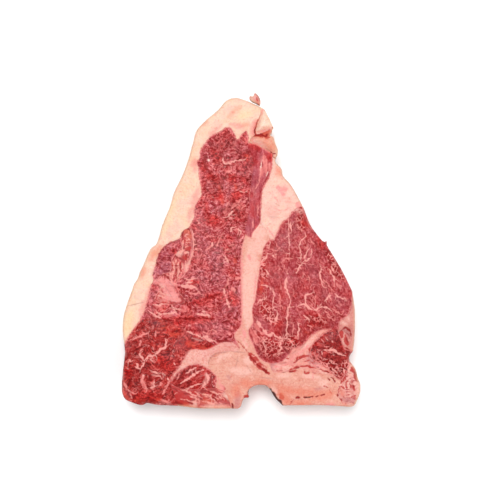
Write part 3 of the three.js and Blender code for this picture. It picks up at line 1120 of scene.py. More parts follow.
@dataclass
class Cut:
    """One piece of the steak: a column cut through its whole thickness."""

    name: str = ""
    slot: Slot = Slot.LEAN
    rounds: str = ""
    finish: Finish = Lean()
    marks: Marks = ()
    swell: float = 0.0
    reach: float = 10.0
    ripple: float = 0.3
    sink: float = 0.1
    sway: float = 1.7
    sway_size: float = 13.0
    crown: float = THICKNESS
    floor: float = 0.0
    rim_drop: float = RIM_DROP
    rim_width: float = RIM_WIDTH

    # How clear the grid keeps of the rings and of the loop, in steps, the share of its distance that a
    # ring's point has to keep from the outline, and how clear it keeps of the seams, in mm
    CLEAR_OF_RINGS = 0.3
    CLEAR_OF_LOOP = 0.45
    TRUE_SHARE = 0.92
    CLEAR_OF_SEAMS = 0.3

    def ring(self, chart: SeamMap) -> Ring:
        """Gives the piece's own loop, just clear of its neighbours."""
        ring = chart.ring(self.rounds)
        return Ring(shrunk(ring.points, SEAM_GAP), ring.rind, ring.mixed)

    def outline(self, chart: SeamMap) -> Ring:
        """Gives the loop whose edge is rounded off."""
        return chart.outline

    def relief(self, chart: SeamMap, points: Array) -> Array:
        """Gives the fine relief of the cut face at points, in mm."""
        return np.zeros(len(points))

    def face(self, ring: Ring, outline: Ring, step: float, rings: Sequence[float]) -> tuple[Array, Array]:
        """Covers the piece's loop with triangles.

        Args:
            ring: the loop.
            outline: the loop whose edge is rounded off.
            step: spacing of the grid inside.
            rings: distances from the outline that get a row of points of their own.

        Returns:
            The points, the loop's first, and the triangles.
        """
        low, high = ring.points.min(0), ring.points.max(0)
        rows = np.arange(low[1], high[1], step * math.sqrt(0.75))
        columns = np.arange(low[0], high[0], step)
        x, y = np.meshgrid(columns, rows)
        x[1::2] += step / 2
        grid = np.column_stack([x.ravel(), y.ravel()])
        grid = grid[inside(grid, ring.points)]
        deep = nearest(grid, *outline.sides())[0] > rings[-1] + self.CLEAR_OF_RINGS * step
        grid = grid[deep & (nearest(grid, *ring.sides())[0] > self.CLEAR_OF_LOOP * step)]
        extra = []
        for distance in rings:
            row = shrunk(outline.points, distance)
            row = row[inside(row, ring.points)]
            if len(row):
                true = nearest(row, *outline.sides())[0] > self.TRUE_SHARE * distance
                clear = np.ones(len(row), bool)
                if not ring.rind.all():
                    clear = nearest(row, *ring.sides(~ring.rind))[0] > self.CLEAR_OF_SEAMS
                extra.append(row[true & clear])
        points = np.vstack([ring.points, *extra, grid])
        result = delaunay_2d_cdt([Vector(p) for p in points], [], [list(range(len(ring.points)))], 1, 1e-6)
        source = np.array([origin[0] if origin else -1 for origin in result[3]])
        if (source < 0).any() or len(result[0]) > len(points):
            raise ValueError(f"{self.name}: the loop crosses itself")
        return points, source[np.array(result[2])]

    def build(self, chart: SeamMap) -> bpy.types.Object:
        """Makes the piece, dresses it and puts it in its node's place.

        Args:
            chart: the map of the cut face.

        Returns:
            The finished object.
        """
        ring, outline = self.ring(chart), self.outline(chart)
        top, top_faces = self.face(ring, outline, FACE_STEP, RIM_RINGS)
        under, under_faces = self.face(ring, outline, UNDER_STEP, UNDER_RINGS)
        form = Form(self, chart, ring, outline)
        mesh = form.mesh(top, top_faces, under, under_faces)
        piece = bpy.data.objects.new(self.name + "_piece", mesh)
        bpy.context.scene.collection.objects.link(piece)
        tints = [tint for tint in Tint if any(mark.tint is tint for mark in self.marks)]
        mesh.materials.append(self.finish.dress(self.name, tints))
        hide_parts(self.name)
        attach(piece, "root")
        log.info("%s: %d faces", piece.name, len(mesh.polygons))
        return piece


class Form:
    """Turns one piece's faces into its closed mesh, with the fields that its finish reads."""

    SEAM_DIP = 0.08
    SEAM_REACH = 0.5
    MARK_DEPTH = 3.5
    SHARP_DEGREES = 48.0
    TOP_SHARE = 0.64
    MARGIN = 0.01
    STRIPS = 3
    SEAM_WEIGHT = 0.12

    def __init__(self, cut: Cut, chart: SeamMap, ring: Ring, outline: Ring) -> None:
        """Keeps what the form is made from.

        Args:
            cut: the piece.
            chart: the map of the cut face.
            ring: the piece's loop.
            outline: the loop whose edge is rounded off.
        """
        self.cut, self.chart, self.ring, self.outline = cut, chart, ring, outline

    def seam_distance(self, points: Array) -> Array:
        """Measures how far points are from the piece's neighbours."""
        if self.ring.rind.all():
            return np.full(len(points), FAR)
        return nearest(points, *self.ring.sides(~self.ring.rind))[0]

    def mixed_distance(self, points: Array) -> Array:
        """Measures how far points are from where meat meets fat or bone."""
        if not self.ring.mixed.any():
            return np.full(len(points), FAR)
        return nearest(points, *self.ring.sides(self.ring.mixed))[0]

    def rounding(self, depth: Array) -> Array:
        """Gives how far the rounded rim falls at a depth inside the outline."""
        share = np.clip(1 - depth / self.cut.rim_width, 0, 1)
        return self.cut.rim_drop * (1 - np.sqrt(1 - share**2))

    def top_heights(self, points: Array) -> Array:
        """Gives the height of the shown face.

        Args:
            points: rows of x, y.

        Returns:
            Heights in mm.
        """
        cut = self.cut
        x, y = points.T
        slow = np.sin(x / 11 + 1.3 * np.sin(y / 17)) * np.cos(y / 13 - 0.6 * np.sin(x / 19))
        fine = np.sin(x / 4.7 + y / 6.1) * np.cos(y / 5.3 - x / 7.9)
        edge = nearest(points, *self.ring.sides())[0]
        rise = cut.swell * smooth(edge, 0, cut.reach) + cut.ripple * (0.65 * slow + 0.35 * fine) - cut.sink
        rise += cut.relief(self.chart, flat(points))
        rise -= self.SEAM_DIP * smooth(self.seam_distance(points), self.SEAM_REACH, 0)
        for mark in cut.marks:
            if mark.depth:
                reach = distance_to_marks(points, [mark])
                rise -= mark.depth * smooth(reach, 0.3 * mark.width, -0.4 * mark.width)
        depth = nearest(points, *self.outline.sides())[0]
        roof = cut.crown + HEADROOM
        face = cut.crown + np.minimum(HEADROOM, rise)
        rim = roof - self.rounding(depth)
        blend = np.clip(0.5 + 0.5 * (rim - face), 0, 1)
        low = rim * (1 - blend) + face * blend - blend * (1 - blend)
        return np.where(depth < 1e-3, roof - cut.rim_drop, np.minimum(low, roof))

    def under_heights(self, points: Array) -> Array:
        """Gives the height of the face that the steak lies on."""
        return self.cut.floor + self.rounding(nearest(points, *self.outline.sides())[0])

    def wall(self, top: Array, under: Array) -> Array:
        """Gives the rows of points between the two faces' loops.

        Args:
            top: the upper loop's points, with heights.
            under: the lower loop's points, with heights.

        Returns:
            An array of rows by points by 3.
        """
        height = self.cut.crown - self.cut.floor
        rows = max(2, round(height / WALL_STEP)) if self.ring.rind.any() else 3
        share = (np.arange(1, rows) / rows)[:, None, None]
        points = top[None] * (1 - share) + under[None] * share
        depth, which = nearest(self.ring.points, *self.outline.sides())
        inward = -rightward(np.vstack([self.outline.points, self.outline.points[:1]]))[which]
        near = smooth(depth, 4.0, 0.0)
        spots = points.reshape(-1, 3)
        sway = 0.5 + 0.5 * self.chart.grain.layered(spots, self.cut.sway_size, 4, 0.55).reshape(rows - 1, -1)
        window = np.sin(np.pi * share[:, :, 0]) ** 0.6
        shift = self.cut.sway * sway * window * near[None]
        points[:, :, :2] += inward[None] * shift[:, :, None]
        return points

    def fields(self, points: Array) -> dict[str, Array]:
        """Works out the numbers that the finish reads at each point.

        Args:
            points: rows of x, y, z.

        Returns:
            Arrays by name.
        """
        face = points[:, :2]
        depth = nearest(face, *self.outline.sides())[0]
        buried = np.minimum(points[:, 2] - self.cut.floor, self.cut.crown - points[:, 2])
        fields = {"rim": self.mixed_distance(face), "skin": smooth(depth, 2.0, 0.4)}
        for tint in Tint:
            marks = [mark for mark in self.cut.marks if mark.tint is tint]
            if marks:
                fields[tint.value] = distance_to_marks(face, marks) + np.maximum(0, buried - self.MARK_DEPTH)
        return fields

    def mesh(self, top: Array, top_faces: Array, under: Array, under_faces: Array) -> bpy.types.Mesh:
        """Closes the piece's mesh.

        Args:
            top: points of the shown face, its loop first.
            top_faces: its triangles.
            under: points of the lower face, its loop first.
            under_faces: its triangles.

        Returns:
            The mesh, in metres.
        """
        upper = np.column_stack([top, self.top_heights(top)])
        lower = np.column_stack([under, self.under_heights(under)])
        count = len(self.ring.points)
        wall = self.wall(upper[:count], lower[:count])
        rows = len(wall)
        points = np.vstack([upper, wall.reshape(-1, 3), lower])
        level = [np.arange(count), *[len(upper) + k * count + np.arange(count) for k in range(rows)]]
        level.append(len(upper) + rows * count + np.arange(count))
        quads = np.vstack([
            np.column_stack([a, b, np.roll(b, -1), np.roll(a, -1)]) for a, b in zip(level, level[1:])
        ])
        low_faces = under_faces[:, ::-1] + len(upper) + rows * count
        mesh = bpy.data.meshes.new(self.cut.name + "_piece")
        corners = np.concatenate([top_faces.ravel(), low_faces.ravel(), quads.ravel()])
        sizes = np.concatenate([np.full(len(top_faces) + len(low_faces), 3), np.full(len(quads), 4)])
        mesh.vertices.add(len(points))
        mesh.vertices.foreach_set("co", (points * MM).ravel())
        mesh.loops.add(len(corners))
        mesh.loops.foreach_set("vertex_index", corners)
        mesh.polygons.add(len(sizes))
        mesh.polygons.foreach_set("loop_start", np.concatenate([[0], np.cumsum(sizes)[:-1]]))
        mesh.polygons.foreach_set("use_smooth", np.ones(len(sizes), bool))
        for name, values in self.fields(points).items():
            mesh.attributes.new(name, "FLOAT", "POINT").data.foreach_set("value", values)
        spread = self.unwrap(points, top_faces, low_faces, rows + 1)
        mesh.uv_layers.new(name="OFBake").data.foreach_set("uv", spread.ravel())
        mesh.update(calc_edges=True)
        mesh.set_sharp_from_angle(angle=math.radians(self.SHARP_DEGREES))
        return mesh

    def unwrap(self, points: Array, top: Array, under: Array, rows: int) -> Array:
        """Lays the mesh out flat, with most of the room for the shown face.

        Args:
            points: the mesh's points.
            top: the shown face's triangles.
            under: the lower face's triangles.
            rows: how many rows the wall's faces make.

        Returns:
            The place of every face corner, in their order in the mesh.
        """
        plan = points[:, :2] - points[:, :2].min(0)
        if plan[:, 1].max() > plan[:, 0].max():
            plan = plan[:, ::-1]
        wide, high = plan.max(0)
        margin, strips = self.MARGIN, self.STRIPS
        large = min((1 - 2 * margin) / wide, (self.TOP_SHARE - 2 * margin) / high)
        rest = 1 - self.TOP_SHARE
        small = min((0.5 - 2 * margin) / wide, (rest - 2 * margin) / high)
        shown = plan[top.ravel()] * large + (margin, rest + margin)
        hidden = plan[under.ravel()] * small + margin
        weight = np.where(self.ring.rind, 1.0, self.SEAM_WEIGHT)
        weight = weight / weight.sum() * strips
        start = np.concatenate([[0], np.cumsum(weight)])[:-1]
        strip = np.minimum(np.floor(start), strips - 1)
        room = 1 + weight.max()
        left = (start - strip) / room
        right = left + weight / room
        width, height = 0.5 - 2 * margin, rest / strips - margin
        corners = []
        for row in range(rows):
            upper, lower = 1 - row / rows, 1 - (row + 1) / rows
            across = np.column_stack([left, left, right, right])
            down = np.tile([upper, lower, lower, upper], (len(left), 1))
            base = (strip * rest / strips + margin / 2)[:, None]
            corners.append(np.stack([0.5 + margin + across * width, base + down * height], axis=2))
        return np.vstack([shown, hidden, np.concatenate(corners).reshape(-1, 2)])


@dataclass
class Muscle(Cut):
    """A muscle cut across: it swells a little over its seams and its bundles stand up in grit."""

    swell: float = 1.1
    reach: float = 14.0
    ripple: float = 0.45
    sink: float = 0.3
    grit: float = 0.26
    grit_size: float = 2.6
    tear: float = 0.35
    tear_size: float = 7.0

    def relief(self, chart: SeamMap, points: Array) -> Array:
        """Gives the bundles and the torn ridges of the cut."""
        grit = chart.grain.layered(points, self.grit_size, 3, 0.65)
        tear = 1 - 2 * np.abs(chart.grain.layered(points + 90.0, self.tear_size, 3, 0.55))
        return self.grit * grit + self.tear * (tear - 0.5)


@dataclass
class FatBody(Cut):
    """A body of fat: softly lumpy on the cut, with a creased rind."""

    slot: Slot = Slot.PINK_FAT
    finish: Finish = Fat()
    swell: float = 0.3
    lump: float = 0.32
    lump_size: float = 5.0

    def relief(self, chart: SeamMap, points: Array) -> Array:
        """Gives the lobules of the fat."""
        return self.lump * chart.grain.layered(points, self.lump_size, 4, 0.55)


@dataclass
class TBone(Cut):
    """The sawn vertebra with its two lobes, the bridge over the spinal canal, and the stem of the T."""

    name: str = "t_bone"
    slot: Slot = Slot.BONE
    finish: Finish = SawnBone()
    rounds: str = (
        "-fatBone -flankBone boneLoin -bandBone backBone trimBone -canal -chineRight -boneBulb -seamBone"
        " -boneFillet"
    )
    swell: float = 0.1
    reach: float = 8.0
    ripple: float = 0.12
    sink: float = 0.25
    scratch: float = 0.05
    # The pit strokes are painted shade: a near-black band beside the canal's right-hand wall, and the shade
    # deep in the slits
    marks: Marks = sketch("""
        cream 11: 17,15 9,14; 14,8 14,2; 8,8 8,-4 6,-26 5,-40 5,-54
        cream 2.2: 22.4,-98.4 26,-102; 0,-61 4.5,-70; 27,-105 30,-109
        cream 6: -7,-85.6 3,-86.6 9,-87; 4,-78 6,-80; 58,-95 62,-95.4
        cream 3: -6,-74.6 -14,-75.6 -18,-79; 44,-89.4 58,-91; 26,-90 36,-89.4
        orange 6: 28,-98 36,-101 46,-101.6 54,-101
        orange 7: 29,-102 32,-106 35,-109; -3,-97 -4,-104; 1.6,-95 7,-96.4; 46,-103.6 56,-104.6 68,-102.6
        orange 4: 38,-110 50,-109.8; 48,-105 62,-104.6; -9,-105 -10,-111; 6,-94.6 22,-94.6
        blush 1: 0,-61 2.4,-65 5,-69; 6.6,-60 7,-64 8.4,-69; 52,-88.4 52.6,-92.6
        blush 2.6: 5.4,-2 6.6,-6; -14.6,-96 -12.6,-101; 62,-111 68,-111; 2,-56 3,-62
        blush 1.3: 1,8 0.6,-10 0.8,-40 0.4,-55; 11,-16 9.4,-34; -16,-92 -15,-98
        mauve 4.6: -2.2,-102 -2.6,-108 -3.4,-113
        mauve 1.8: 54,-99.6 60,-99; 21,-80.4 24,-84; -10,-90 -8,-92
        grey 1.1: -23.5,-81.4 -22.8,-78.2 -20.7,-75.5 -17.5,-73.6 -13,-73 -8,-72
        grey 0.9: 5,-98.4 9.5,-97.5 15,-96.6 19,-97.4; -8,-72 3,-73
        grey 0.6: -7,-76 -1,-80; -2,-76 -4,-84; 4,-82 8,-88; 14,-91 24,-92
        red 3.4 taper=0.6: 5.2,-72.6 9,-77.4 13.6,-82.4 20.2,-88.4
        red 0.9: -3,-64 1,-68 4.6,-72.4; 9.6,-74.6 12.4,-78.4; 16,-81.6 18.6,-84.4
        red 2.6: 28.8,-103 30.4,-107; 3,-104.4 5.4,-106.2
        red 1.2: 46,-84.5 49,-84 49.5,-87 47,-88 45.5,-86 46,-84.5; 34.5,-87 40.5,-86.2
        red 1.3: -13.8,-97 -12.4,-99 -13.6,-101; -14.4,-104.8 -11,-107; 54,-88 50.5,-86.6
        red 1: 35.5,-110.7 37,-108.5 40,-106 43,-105.5; 64,-100 66,-103; 60,-97 63,-98.4
        dark 1.5 depth=0.4: 6,-74.4 8.6,-77.8 10.6,-80; 11.4,-81.2 14.6,-84; 15.4,-84.6 19.4,-87.8
        fat 0.7 ragged=0.3: 11.4,-78.8 12.6,-80.4; 14.6,-82.4 16,-83.6; 8,-74.6 9,-75.8; 10,-80.4 11,-81.4
        dark 1.2 depth=0.4: 28.8,-87 33,-86.9; 35,-87 38,-86.6; -5.6,-113.8 -6.6,-110
        dark 1.1 depth=0.5 taper=0.4: 45.5,-105.5 48.6,-105.4 52,-105; 40,-106 42.4,-105.7
        dark 0.8 depth=0.3: 54,-105 56.5,-104.5; 57.6,-104.2 61,-103.5; 36,-109.6 37,-108.4
        dark 1.1 depth=0.3: 65,-91 67.5,-92.5 68.5,-95; 62.6,-91 64.5,-93.5; 70.4,-103 70,-105
        pit 2.6 taper=0.5: 21.4,-99.8 23.2,-103.2 25.2,-106.2 28.2,-108.8 30,-111.8
        pit 0.7: 46,-105.5 48.6,-105.4 51,-105; 29,-87 32.6,-86.9; -5.8,-113.4 -6.6,-111
    """)

    def relief(self, chart: SeamMap, points: Array) -> Array:
        """Gives the saw's fine lines and the slow unevenness of the bone."""
        lines = chart.grain.at(points * (0.06, 1.0, 1.0), 0.9)
        return self.scratch * lines + 0.12 * chart.grain.layered(points, 7.0, 3)


@dataclass
class StripLoin(Muscle):
    """The large ragged muscle left of the stem."""

    name: str = "strip_loin"
    rounds: str = "-capLoin loinFlank boneLoin -loinBand -loinSirloin -capLoinLow -loinBelly -loinWeb"
    grit: float = 0.34
    tear: float = 0.5
    finish: Finish = Lean(mottle=1.22, bloom=0.45, comb=1.12, threads=0.34, slits=0.55)
    # The cream 1.7 dots are painted highlights: wet glints at -21.5,28.5, -23.5,66.6, -11.5,62 and -2,83.6
    marks: Marks = sketch("""
        deep 11: -22,76 -12,78 -2,77; -16,68 -11,66; 7,60 6,56; -20,50 -18,48; -9,31 -2,30; -4,73 0,71
        pale 7: -31,60 -31,54; -32,33 -31,20 -31,4 -32,-6; -39,-12 -40,-18; 7,68 7,66
        pale 6: -3,6 -3,0; -3,-30 -3,-36 -12,-42; -68,-40 -62,-42; -34,-50 -26,-50
        marbled 2.6: -32,29 -31,20; -33,8 -34,-2; -31,61 -31,56
        mauve 13: -22,8 -17,-8 -19,-21; -30,-13 -29,-32; -30,-55 -10,-57
        pale 9: -31,8 -30,0; -31,26 -30,17; -4,-30 -3,-34; -31,60 -30,56
        mauve 6: -32,30 -30,22; 1,58 3,62
        red 4: -28,66 -25.5,58 -21,53 -16,50.6; -9,52 -2,54 4,50
        red 5: -15,43 -14,36; -5,42 -2,39; -24,22 -18,24; -20,72 -16,68; -58,-48.6 -45,-49.4 -20,-48.6; \
            -7,-30 -4,-37; 2,72 5,66
        red 3: -36,-22.4 -30,-21.5; -25,36 -24.6,28; -9,12 -6,9
        red 4.2: -38,-37 -30,-36 -25,-34.5 -20,-31.5 -15,-29.8
        orange 2.4: -14,38 -13,34; -4.4,49 -3.6,44.6; -5,-5 -3.6,-8
        orange 1.6: -15.4,48 -15.2,45; 3.4,69.4 6,69.8; -58,-41.4 -55,-42
        blush 2: -62,-39.4 -56,-40; -45,-42 -40,-43; -56,-46.4 -50,-46
        blush 1.3: -9,31 -5,34 -1,38; -6,29 -2,33 2,36.6; -12,28 -10,33
        pink 0.8: -8,30 -3,34.6 1,39.4; -10.6,33 -8.4,37; 0,31 4,34.6; -60,-44 -54,-42
        pink 1.6: -44,-58 -36,-59; -34,-62.6 -26,-64
        pink 1: -11,58.6 -6.4,58.4; 2,37 5,39; -18,4 -16,8 -15.6,10.4
        pink 0.9: -12,1 -9,2.4; -9,4.4 -5,5.4; -26,1 -21,4.4; -19,-43.6 -16,-46; -28,-58 -23,-59.6; \
            -24,-57.4 -20,-57 -17,-59.6; -38,-30 -30,-30
        pink 1.5: -9,-19 -9.6,-24; -7,-26 -4.4,-28; -4,-18.8 -1.4,-18.8
        fat 1: -13,69 -13,66.4 -12,64.6 -9,63.8 -6,65 -3,66.7 2,66.5 4.4,69; -12,25 -9,26 -7,28.6 -5.4,29.6; \
            -1,44.5 2,43 5,44.4
        fat 1.1: -8,14.4 -6,18; -2,17.6 0,13.6; -20.6,7 -21,3.8; -9,-8 -11,-3; -64,-38 -60.4,-38.8 \
            -56,-37.6; -66.4,-43.4 -62,-46 -58,-48
        fat 2.3 twigs=0.1: -43.4,-24.4 -37,-25 -32,-26.2
        fat 1.2 twigs=0.1: -41,-19.6 -36,-20.2 -32.6,-19; -40,-22.4 -35,-21.8
        fat 1.7: -12.8,-26.4 -12.3,-29 -11.4,-32; -10.6,-34 -9.6,-37.4 -8,-40
        fat 1.5 twigs=0.1: -33,-44.6 -28,-45.5 -22,-46.5; -28.4,-43 -26,-43.6
        fat 1.2: -62,-42 -59,-44.8 -55,-45 -50,-44.2 -46,-43.4; -52,-40.4 -43.6,-41.6
        fat 0.9 twigs=0.1: -36,17.6 -34.6,12 -34.6,4 -35.6,-1 -37.2,-6 -39,-12 -41.6,-17
        fat 1.8 twigs=0.1: -42,-57.4 -38,-58.6 -33,-60; -3.6,-58 -1.6,-61.4 -0.4,-64
        fat 1.2 ragged=0.4 twigs=0.4: -33,-60.2 -28,-62 -22,-64.2 -17,-66; -27,-60.6 -24,-62.4; -40,-60.6 \
            -37,-60
        cream 1.7: -21.5,28.5; -24,66.6 -22.8,66.6; -11.5,62; -3,84.6 -1.6,82.6
        dark 1.3 depth=0.7: -46,-48.2 -36,-48.6 -28,-48 -20,-48.5; -56,-49 -50,-49.6
        dark 1.4 depth=0.7: -41,-35.4 -38.6,-37.4 -36,-38.4; -26,-35 -20,-31.8 -17,-30.6
        dark 1: -52,-39.3 -49.5,-40.6 -47.4,-42; -47.6,-38 -41,-37; -61.6,-42 -59.6,-43.8
        dark 1.2: -9,-33 -6.4,-38; -15,-65.2 -8,-65.4 -3,-67.4; -45,-28.8 -42,-31 -40,-33
        dark 0.9: -12,55 -9,56.4 -6,57.4; -12.4,63.2 -5,62.8; -8,36 -3,35.4 -1,34.4
        dark 1.1: -44,-27 -39,-27.6; -37,-28.6 -31,-28.4; -14,-10 -13,-12; -22,-13.4 -18.6,-13.6
        dark 2: 4.6,72.8 5.6,71.6; -26.6,70 -26,64 -22,56
    """)


@dataclass
class RibMuscle(Muscle):
    """The small dark muscle under the fat cap, with its ragged lower edge."""

    name: str = "rib_muscle"
    slot: Slot = Slot.DARK_LEAN
    rounds: str = "capRib -webRib"
    reach: float = 8.0
    finish: Finish = Lean(
        deep=(168, 55, 62), middle=(194, 89, 95), light=(222, 126, 130), threads=0.2, bloom=0.6, swirl=2.0,
        mottle=1.1,
    )
    marks: Marks = sketch("""
        mauve 7: -57,-8 -54,-13; -62,-16 -61.6,-18
        pale 4: -47,5 -46,8
        red 3: -50,-2 -47,3
        dark 0.9 taper=0.3: -45,9.3 -50,6.8 -55,4 -59,-1 -61.6,-8
        dark 1.5: -58,-5.2 -55,-4.5 -52.4,-6.6; -61,-17.8 -57.5,-16.4 -54.8,-16.6
        dark 1.1: -60.5,-8 -60.3,-11; -49.4,2.6 -48.4,2.2; -46.4,0.4 -43.6,1.6
    """)


@dataclass
class BellyMuscle(Muscle):
    """The second small dark muscle, below it."""

    name: str = "belly_muscle"
    slot: Slot = Slot.DARK_LEAN
    rounds: str = "webBelly loinBelly -capBelly"
    reach: float = 5.0
    finish: Finish = Lean(
        deep=(175, 67, 72), middle=(206, 102, 107), light=(227, 139, 142), threads=0.3, bloom=0.4, swirl=2.0,
    )
    marks: Marks = sketch("""
        dark 1: -63.6,-23.6 -60,-24.4 -58.6,-26.4; -64,-35 -62,-37.4
    """)


@dataclass
class WebFat(FatBody):
    """The pink fat between those two and the strip loin, with curls and threads of meat in it."""

    name: str = "web_fat"
    rounds: str = "capWeb webRib capWebLow webBelly -loinWeb"
    finish: Finish = Fat(
        warm=(226, 118, 115), cream=(232, 130, 127), blush=(214, 100, 98), pink=(198, 72, 72),
        meat=(186, 66, 66), bleed=1.0, fuzz=0.3, streaks=0.7, streak=(190, 52, 54), streak_size=2.2,
        angle=80.0, comb=3.0,
    )
    marks: Marks = sketch("""
        blush 4: -64,-22 -59,-21 -56.4,-19.6; -55,-32.4 -49,-34 -44,-35.4
        blush 5: -57,-22.6 -52,-22.4 -48.8,-23.6; -54.6,-26 -49.4,-27
        blush 4.6: -51.4,-30 -47,-31.4; -56,-27.4 -52,-29.4
        cream 3.6: -54,-31 -46,-34.6; -57,-23.6 -56,-24.6; -47.4,-0.6 -43,-1.2; -36.4,-6 -40,-14
        mauve 2: -35.4,10 -35,2 -36.6,-5; -40,-16 -43,-20
        red 2.8 ragged=0.6: -41,6.8 -38,6; -40.6,2.8 -37,2.4; -42,-4.2 -38.4,-3.8; -48,-6.6 -50,-10
        red 0.9: -60,-33.4 -56,-34.4; -60,-36.6 -54,-36.8; -53,-38.6 -48,-38.4; -47,-9 -46.8,-17; -44,-7.4 \
            -44,-15; -49.6,-25 -52.6,-24.4
        orange 4.6: -41.4,14 -38,15.6 -36.8,12.6 -38.4,10
        pink 2: -60,-29.6 -55,-31; -60,-35 -54,-35.4; -48,-8 -46,-12
        fat 1.4: -41.8,8.6 -42.4,5 -42.4,1.4 -45.6,-1; -41.6,-0.6 -38,-0.4; -40,9 -37,8.8
        fat 0.8 ragged=0.4: -40.8,4.8 -38,4; -40.6,11 -38,12.6; -40,7.6 -39,6
        fat 1.1: -49.4,-5.8 -48.4,-12 -49.8,-19; -45.6,-7 -45.2,-13 -46.4,-20; -60,-28.6 -56,-30; \
            -60.6,-31.6 -55,-32.6; -59,-38 -53,-37.4; -43.6,-18 -47,-24
        fat 1: -42.6,-7.4 -42.4,-14; -50.4,-14 -51.6,-19; -40.4,-6.4 -39.6,-10; -47,-5 -47.4,-8
        fat 0.9 ragged=0.1 twigs=0: -36,18 -34.5,12 -34.2,4 -35,0 -36.5,-5 -38.5,-11 -40,-16 -42.5,-20 \
            -45.5,-25
        dark 1.2: -42.5,10.5 -42.4,13 -41.6,15.5; -39.4,17 -36.8,15.6 -36.6,12.5; -41.4,5 -41.4,2; -50,-1.4 \
            -47,-3.7 -43,-5 -41,-6.4; -40.6,-2.4 -37.6,-4; -50.8,-8 -51,-12
        dark 0.9: -48,-10 -45,-10; -46.7,-11 -46.7,-15.5; -43.8,-9 -43.8,-12; -40.6,0.8 -37,0.8
        dark 1.2 taper=0.4: -60,-17.7 -57,-16.4 -54.5,-16.6 -53,-19 -51.5,-20.6
        red 1: -61.4,-24 -58.5,-26.5 -57,-28.6 -54.5,-30.2; -41.6,-19 -43,-22
        grey 0.6: -53,-21 -49,-25 -48,-30; -56,-24 -53,-28 -50,-33; -62,-20 -58,-22.6
    """)


@dataclass
class SirloinTip(Muscle):
    """The dark flecked muscle at the lower left."""

    name: str = "sirloin_tip"
    slot: Slot = Slot.DARK_LEAN
    rounds: str = "capSirloin -sirloinRim -sirloinTrim -sirloinBand -loinSirloin"
    finish: Finish = Lean(
        deepest=(108, 0, 2), deep=(140, 20, 19), middle=(167, 44, 42), light=(196, 76, 72),
        lightest=(234, 116, 109), seam=(220, 100, 93), slit=(108, 2, 4), bloom=0.1, bundle=2.0, grain=0.5,
    )
    marks: Marks = sketch("""
        deep 9: -85,-76 -73,-77; -78,-68 -72,-70; -68,-59 -57,-51; -84,-95 -74,-95; -76,-86 -74,-88
        pale 6: -40,-59 -36,-61; -48,-68 -32,-67; -84,-103 -82,-106; -85,-66 -84,-69
        mauve 5: -64,-50.6 -60,-52; -33,-63 -28,-65; -56,-76 -50,-79
        red 6: -55,-57 -50,-59 -44,-60; -40,-66 -33,-69 -22,-69
        red 7: -80,-104 -70,-106.6 -58,-105.6; -60,-78 -50,-84; -82,-84 -82,-92
        orange 3: -53,-58.4 -49,-60 -45,-59.6; -39,-66.4 -34,-68.6; -30,-70 -25,-69.4
        orange 1: -62,-55 -58,-55.6 -52,-54.6 -47,-55.6; -60,-50.4 -56,-51
        orange 2.6: -86,-101 -83.4,-105 -80,-107.4; -77,-108 -70,-108.6; -62,-108 -58,-107.4
        blush 2.2: -71.4,-88.4 -71.4,-93 -70,-97 -68.6,-100; -58,-107 -53,-109.4
        pink 1.1: -71,-88.6 -71.6,-92 -70.6,-95; -72.4,-91.6 -71.6,-97; -69.6,-96 -68.4,-100.6; -66,-57 \
            -69,-59.4 -74,-61.4 -79,-64; -72.5,-64 -73,-68; -84,-98 -79,-102 -76,-103
        pink 1.5 twigs=0.3: -57,-107.4 -53,-109; -80.5,-103 -79,-107; -60,-108.6 -55,-110
        pink 1.2: -61.6,-57 -62,-62; -58,-94.4 -58.5,-97; -85,-95 -83.4,-99; -53,-94 -54,-98 -57,-103
        grey 1.3: -66,-86 -63,-87.4 -58,-88; -65,-89 -60,-90; -57,-88 -54.6,-90; -36,-62.4 -28,-64.6
        fat 0.8: -64,-86.6 -60,-88.6; -62,-90.4 -58,-90
        fat 1.5: -55,-62.6 -54.4,-66 -55,-68.5 -58,-70.5 -60.5,-73 -64,-75 -67,-75.5 -69.4,-78
        fat 1: -69.4,-79 -72,-76.5 -73.5,-74 -73,-72; -70,-79 -71,-82.6 -74,-84.5 -77,-83; -76,-81 \
            -74.4,-83; -66,-77.5 -64,-79.5; -53.6,-91.6 -52,-93; -48.6,-80 -47.6,-82
        fat 1.3: -62.5,-92.4 -63.6,-95 -63,-97.4 -65.6,-98.6; -81,-78 -80,-80; -83,-84.6 -81.4,-85
        cream 1.5: -57.6,-91.8; -70.8,-89 -71.4,-92
        dark 1 depth=0.3: -84.6,-70 -85,-78 -85.4,-86; -60,-92.4 -58.8,-93; -68.8,-90 -67.6,-96 -66.6,-100
        dark 2.2 depth=0.4: -78,-108.6 -68,-109 -56,-109.4; -54.6,-62 -53.4,-61.4; -57.4,-66.6 -56.6,-65
    """)


@dataclass
class BandFat(FatBody):
    """The pale pink band between that muscle, the back muscle and the bone."""

    name: str = "band_fat"
    rounds: str = "sirloinBand bandBack bandBone -loinBand"
    finish: Finish = Fat(
        warm=(240, 176, 160), cream=(242, 181, 169), blush=(232, 160, 150), pink=(218, 130, 121), bleed=1.4,
        fuzz=0.2, flecks=0.8,
    )


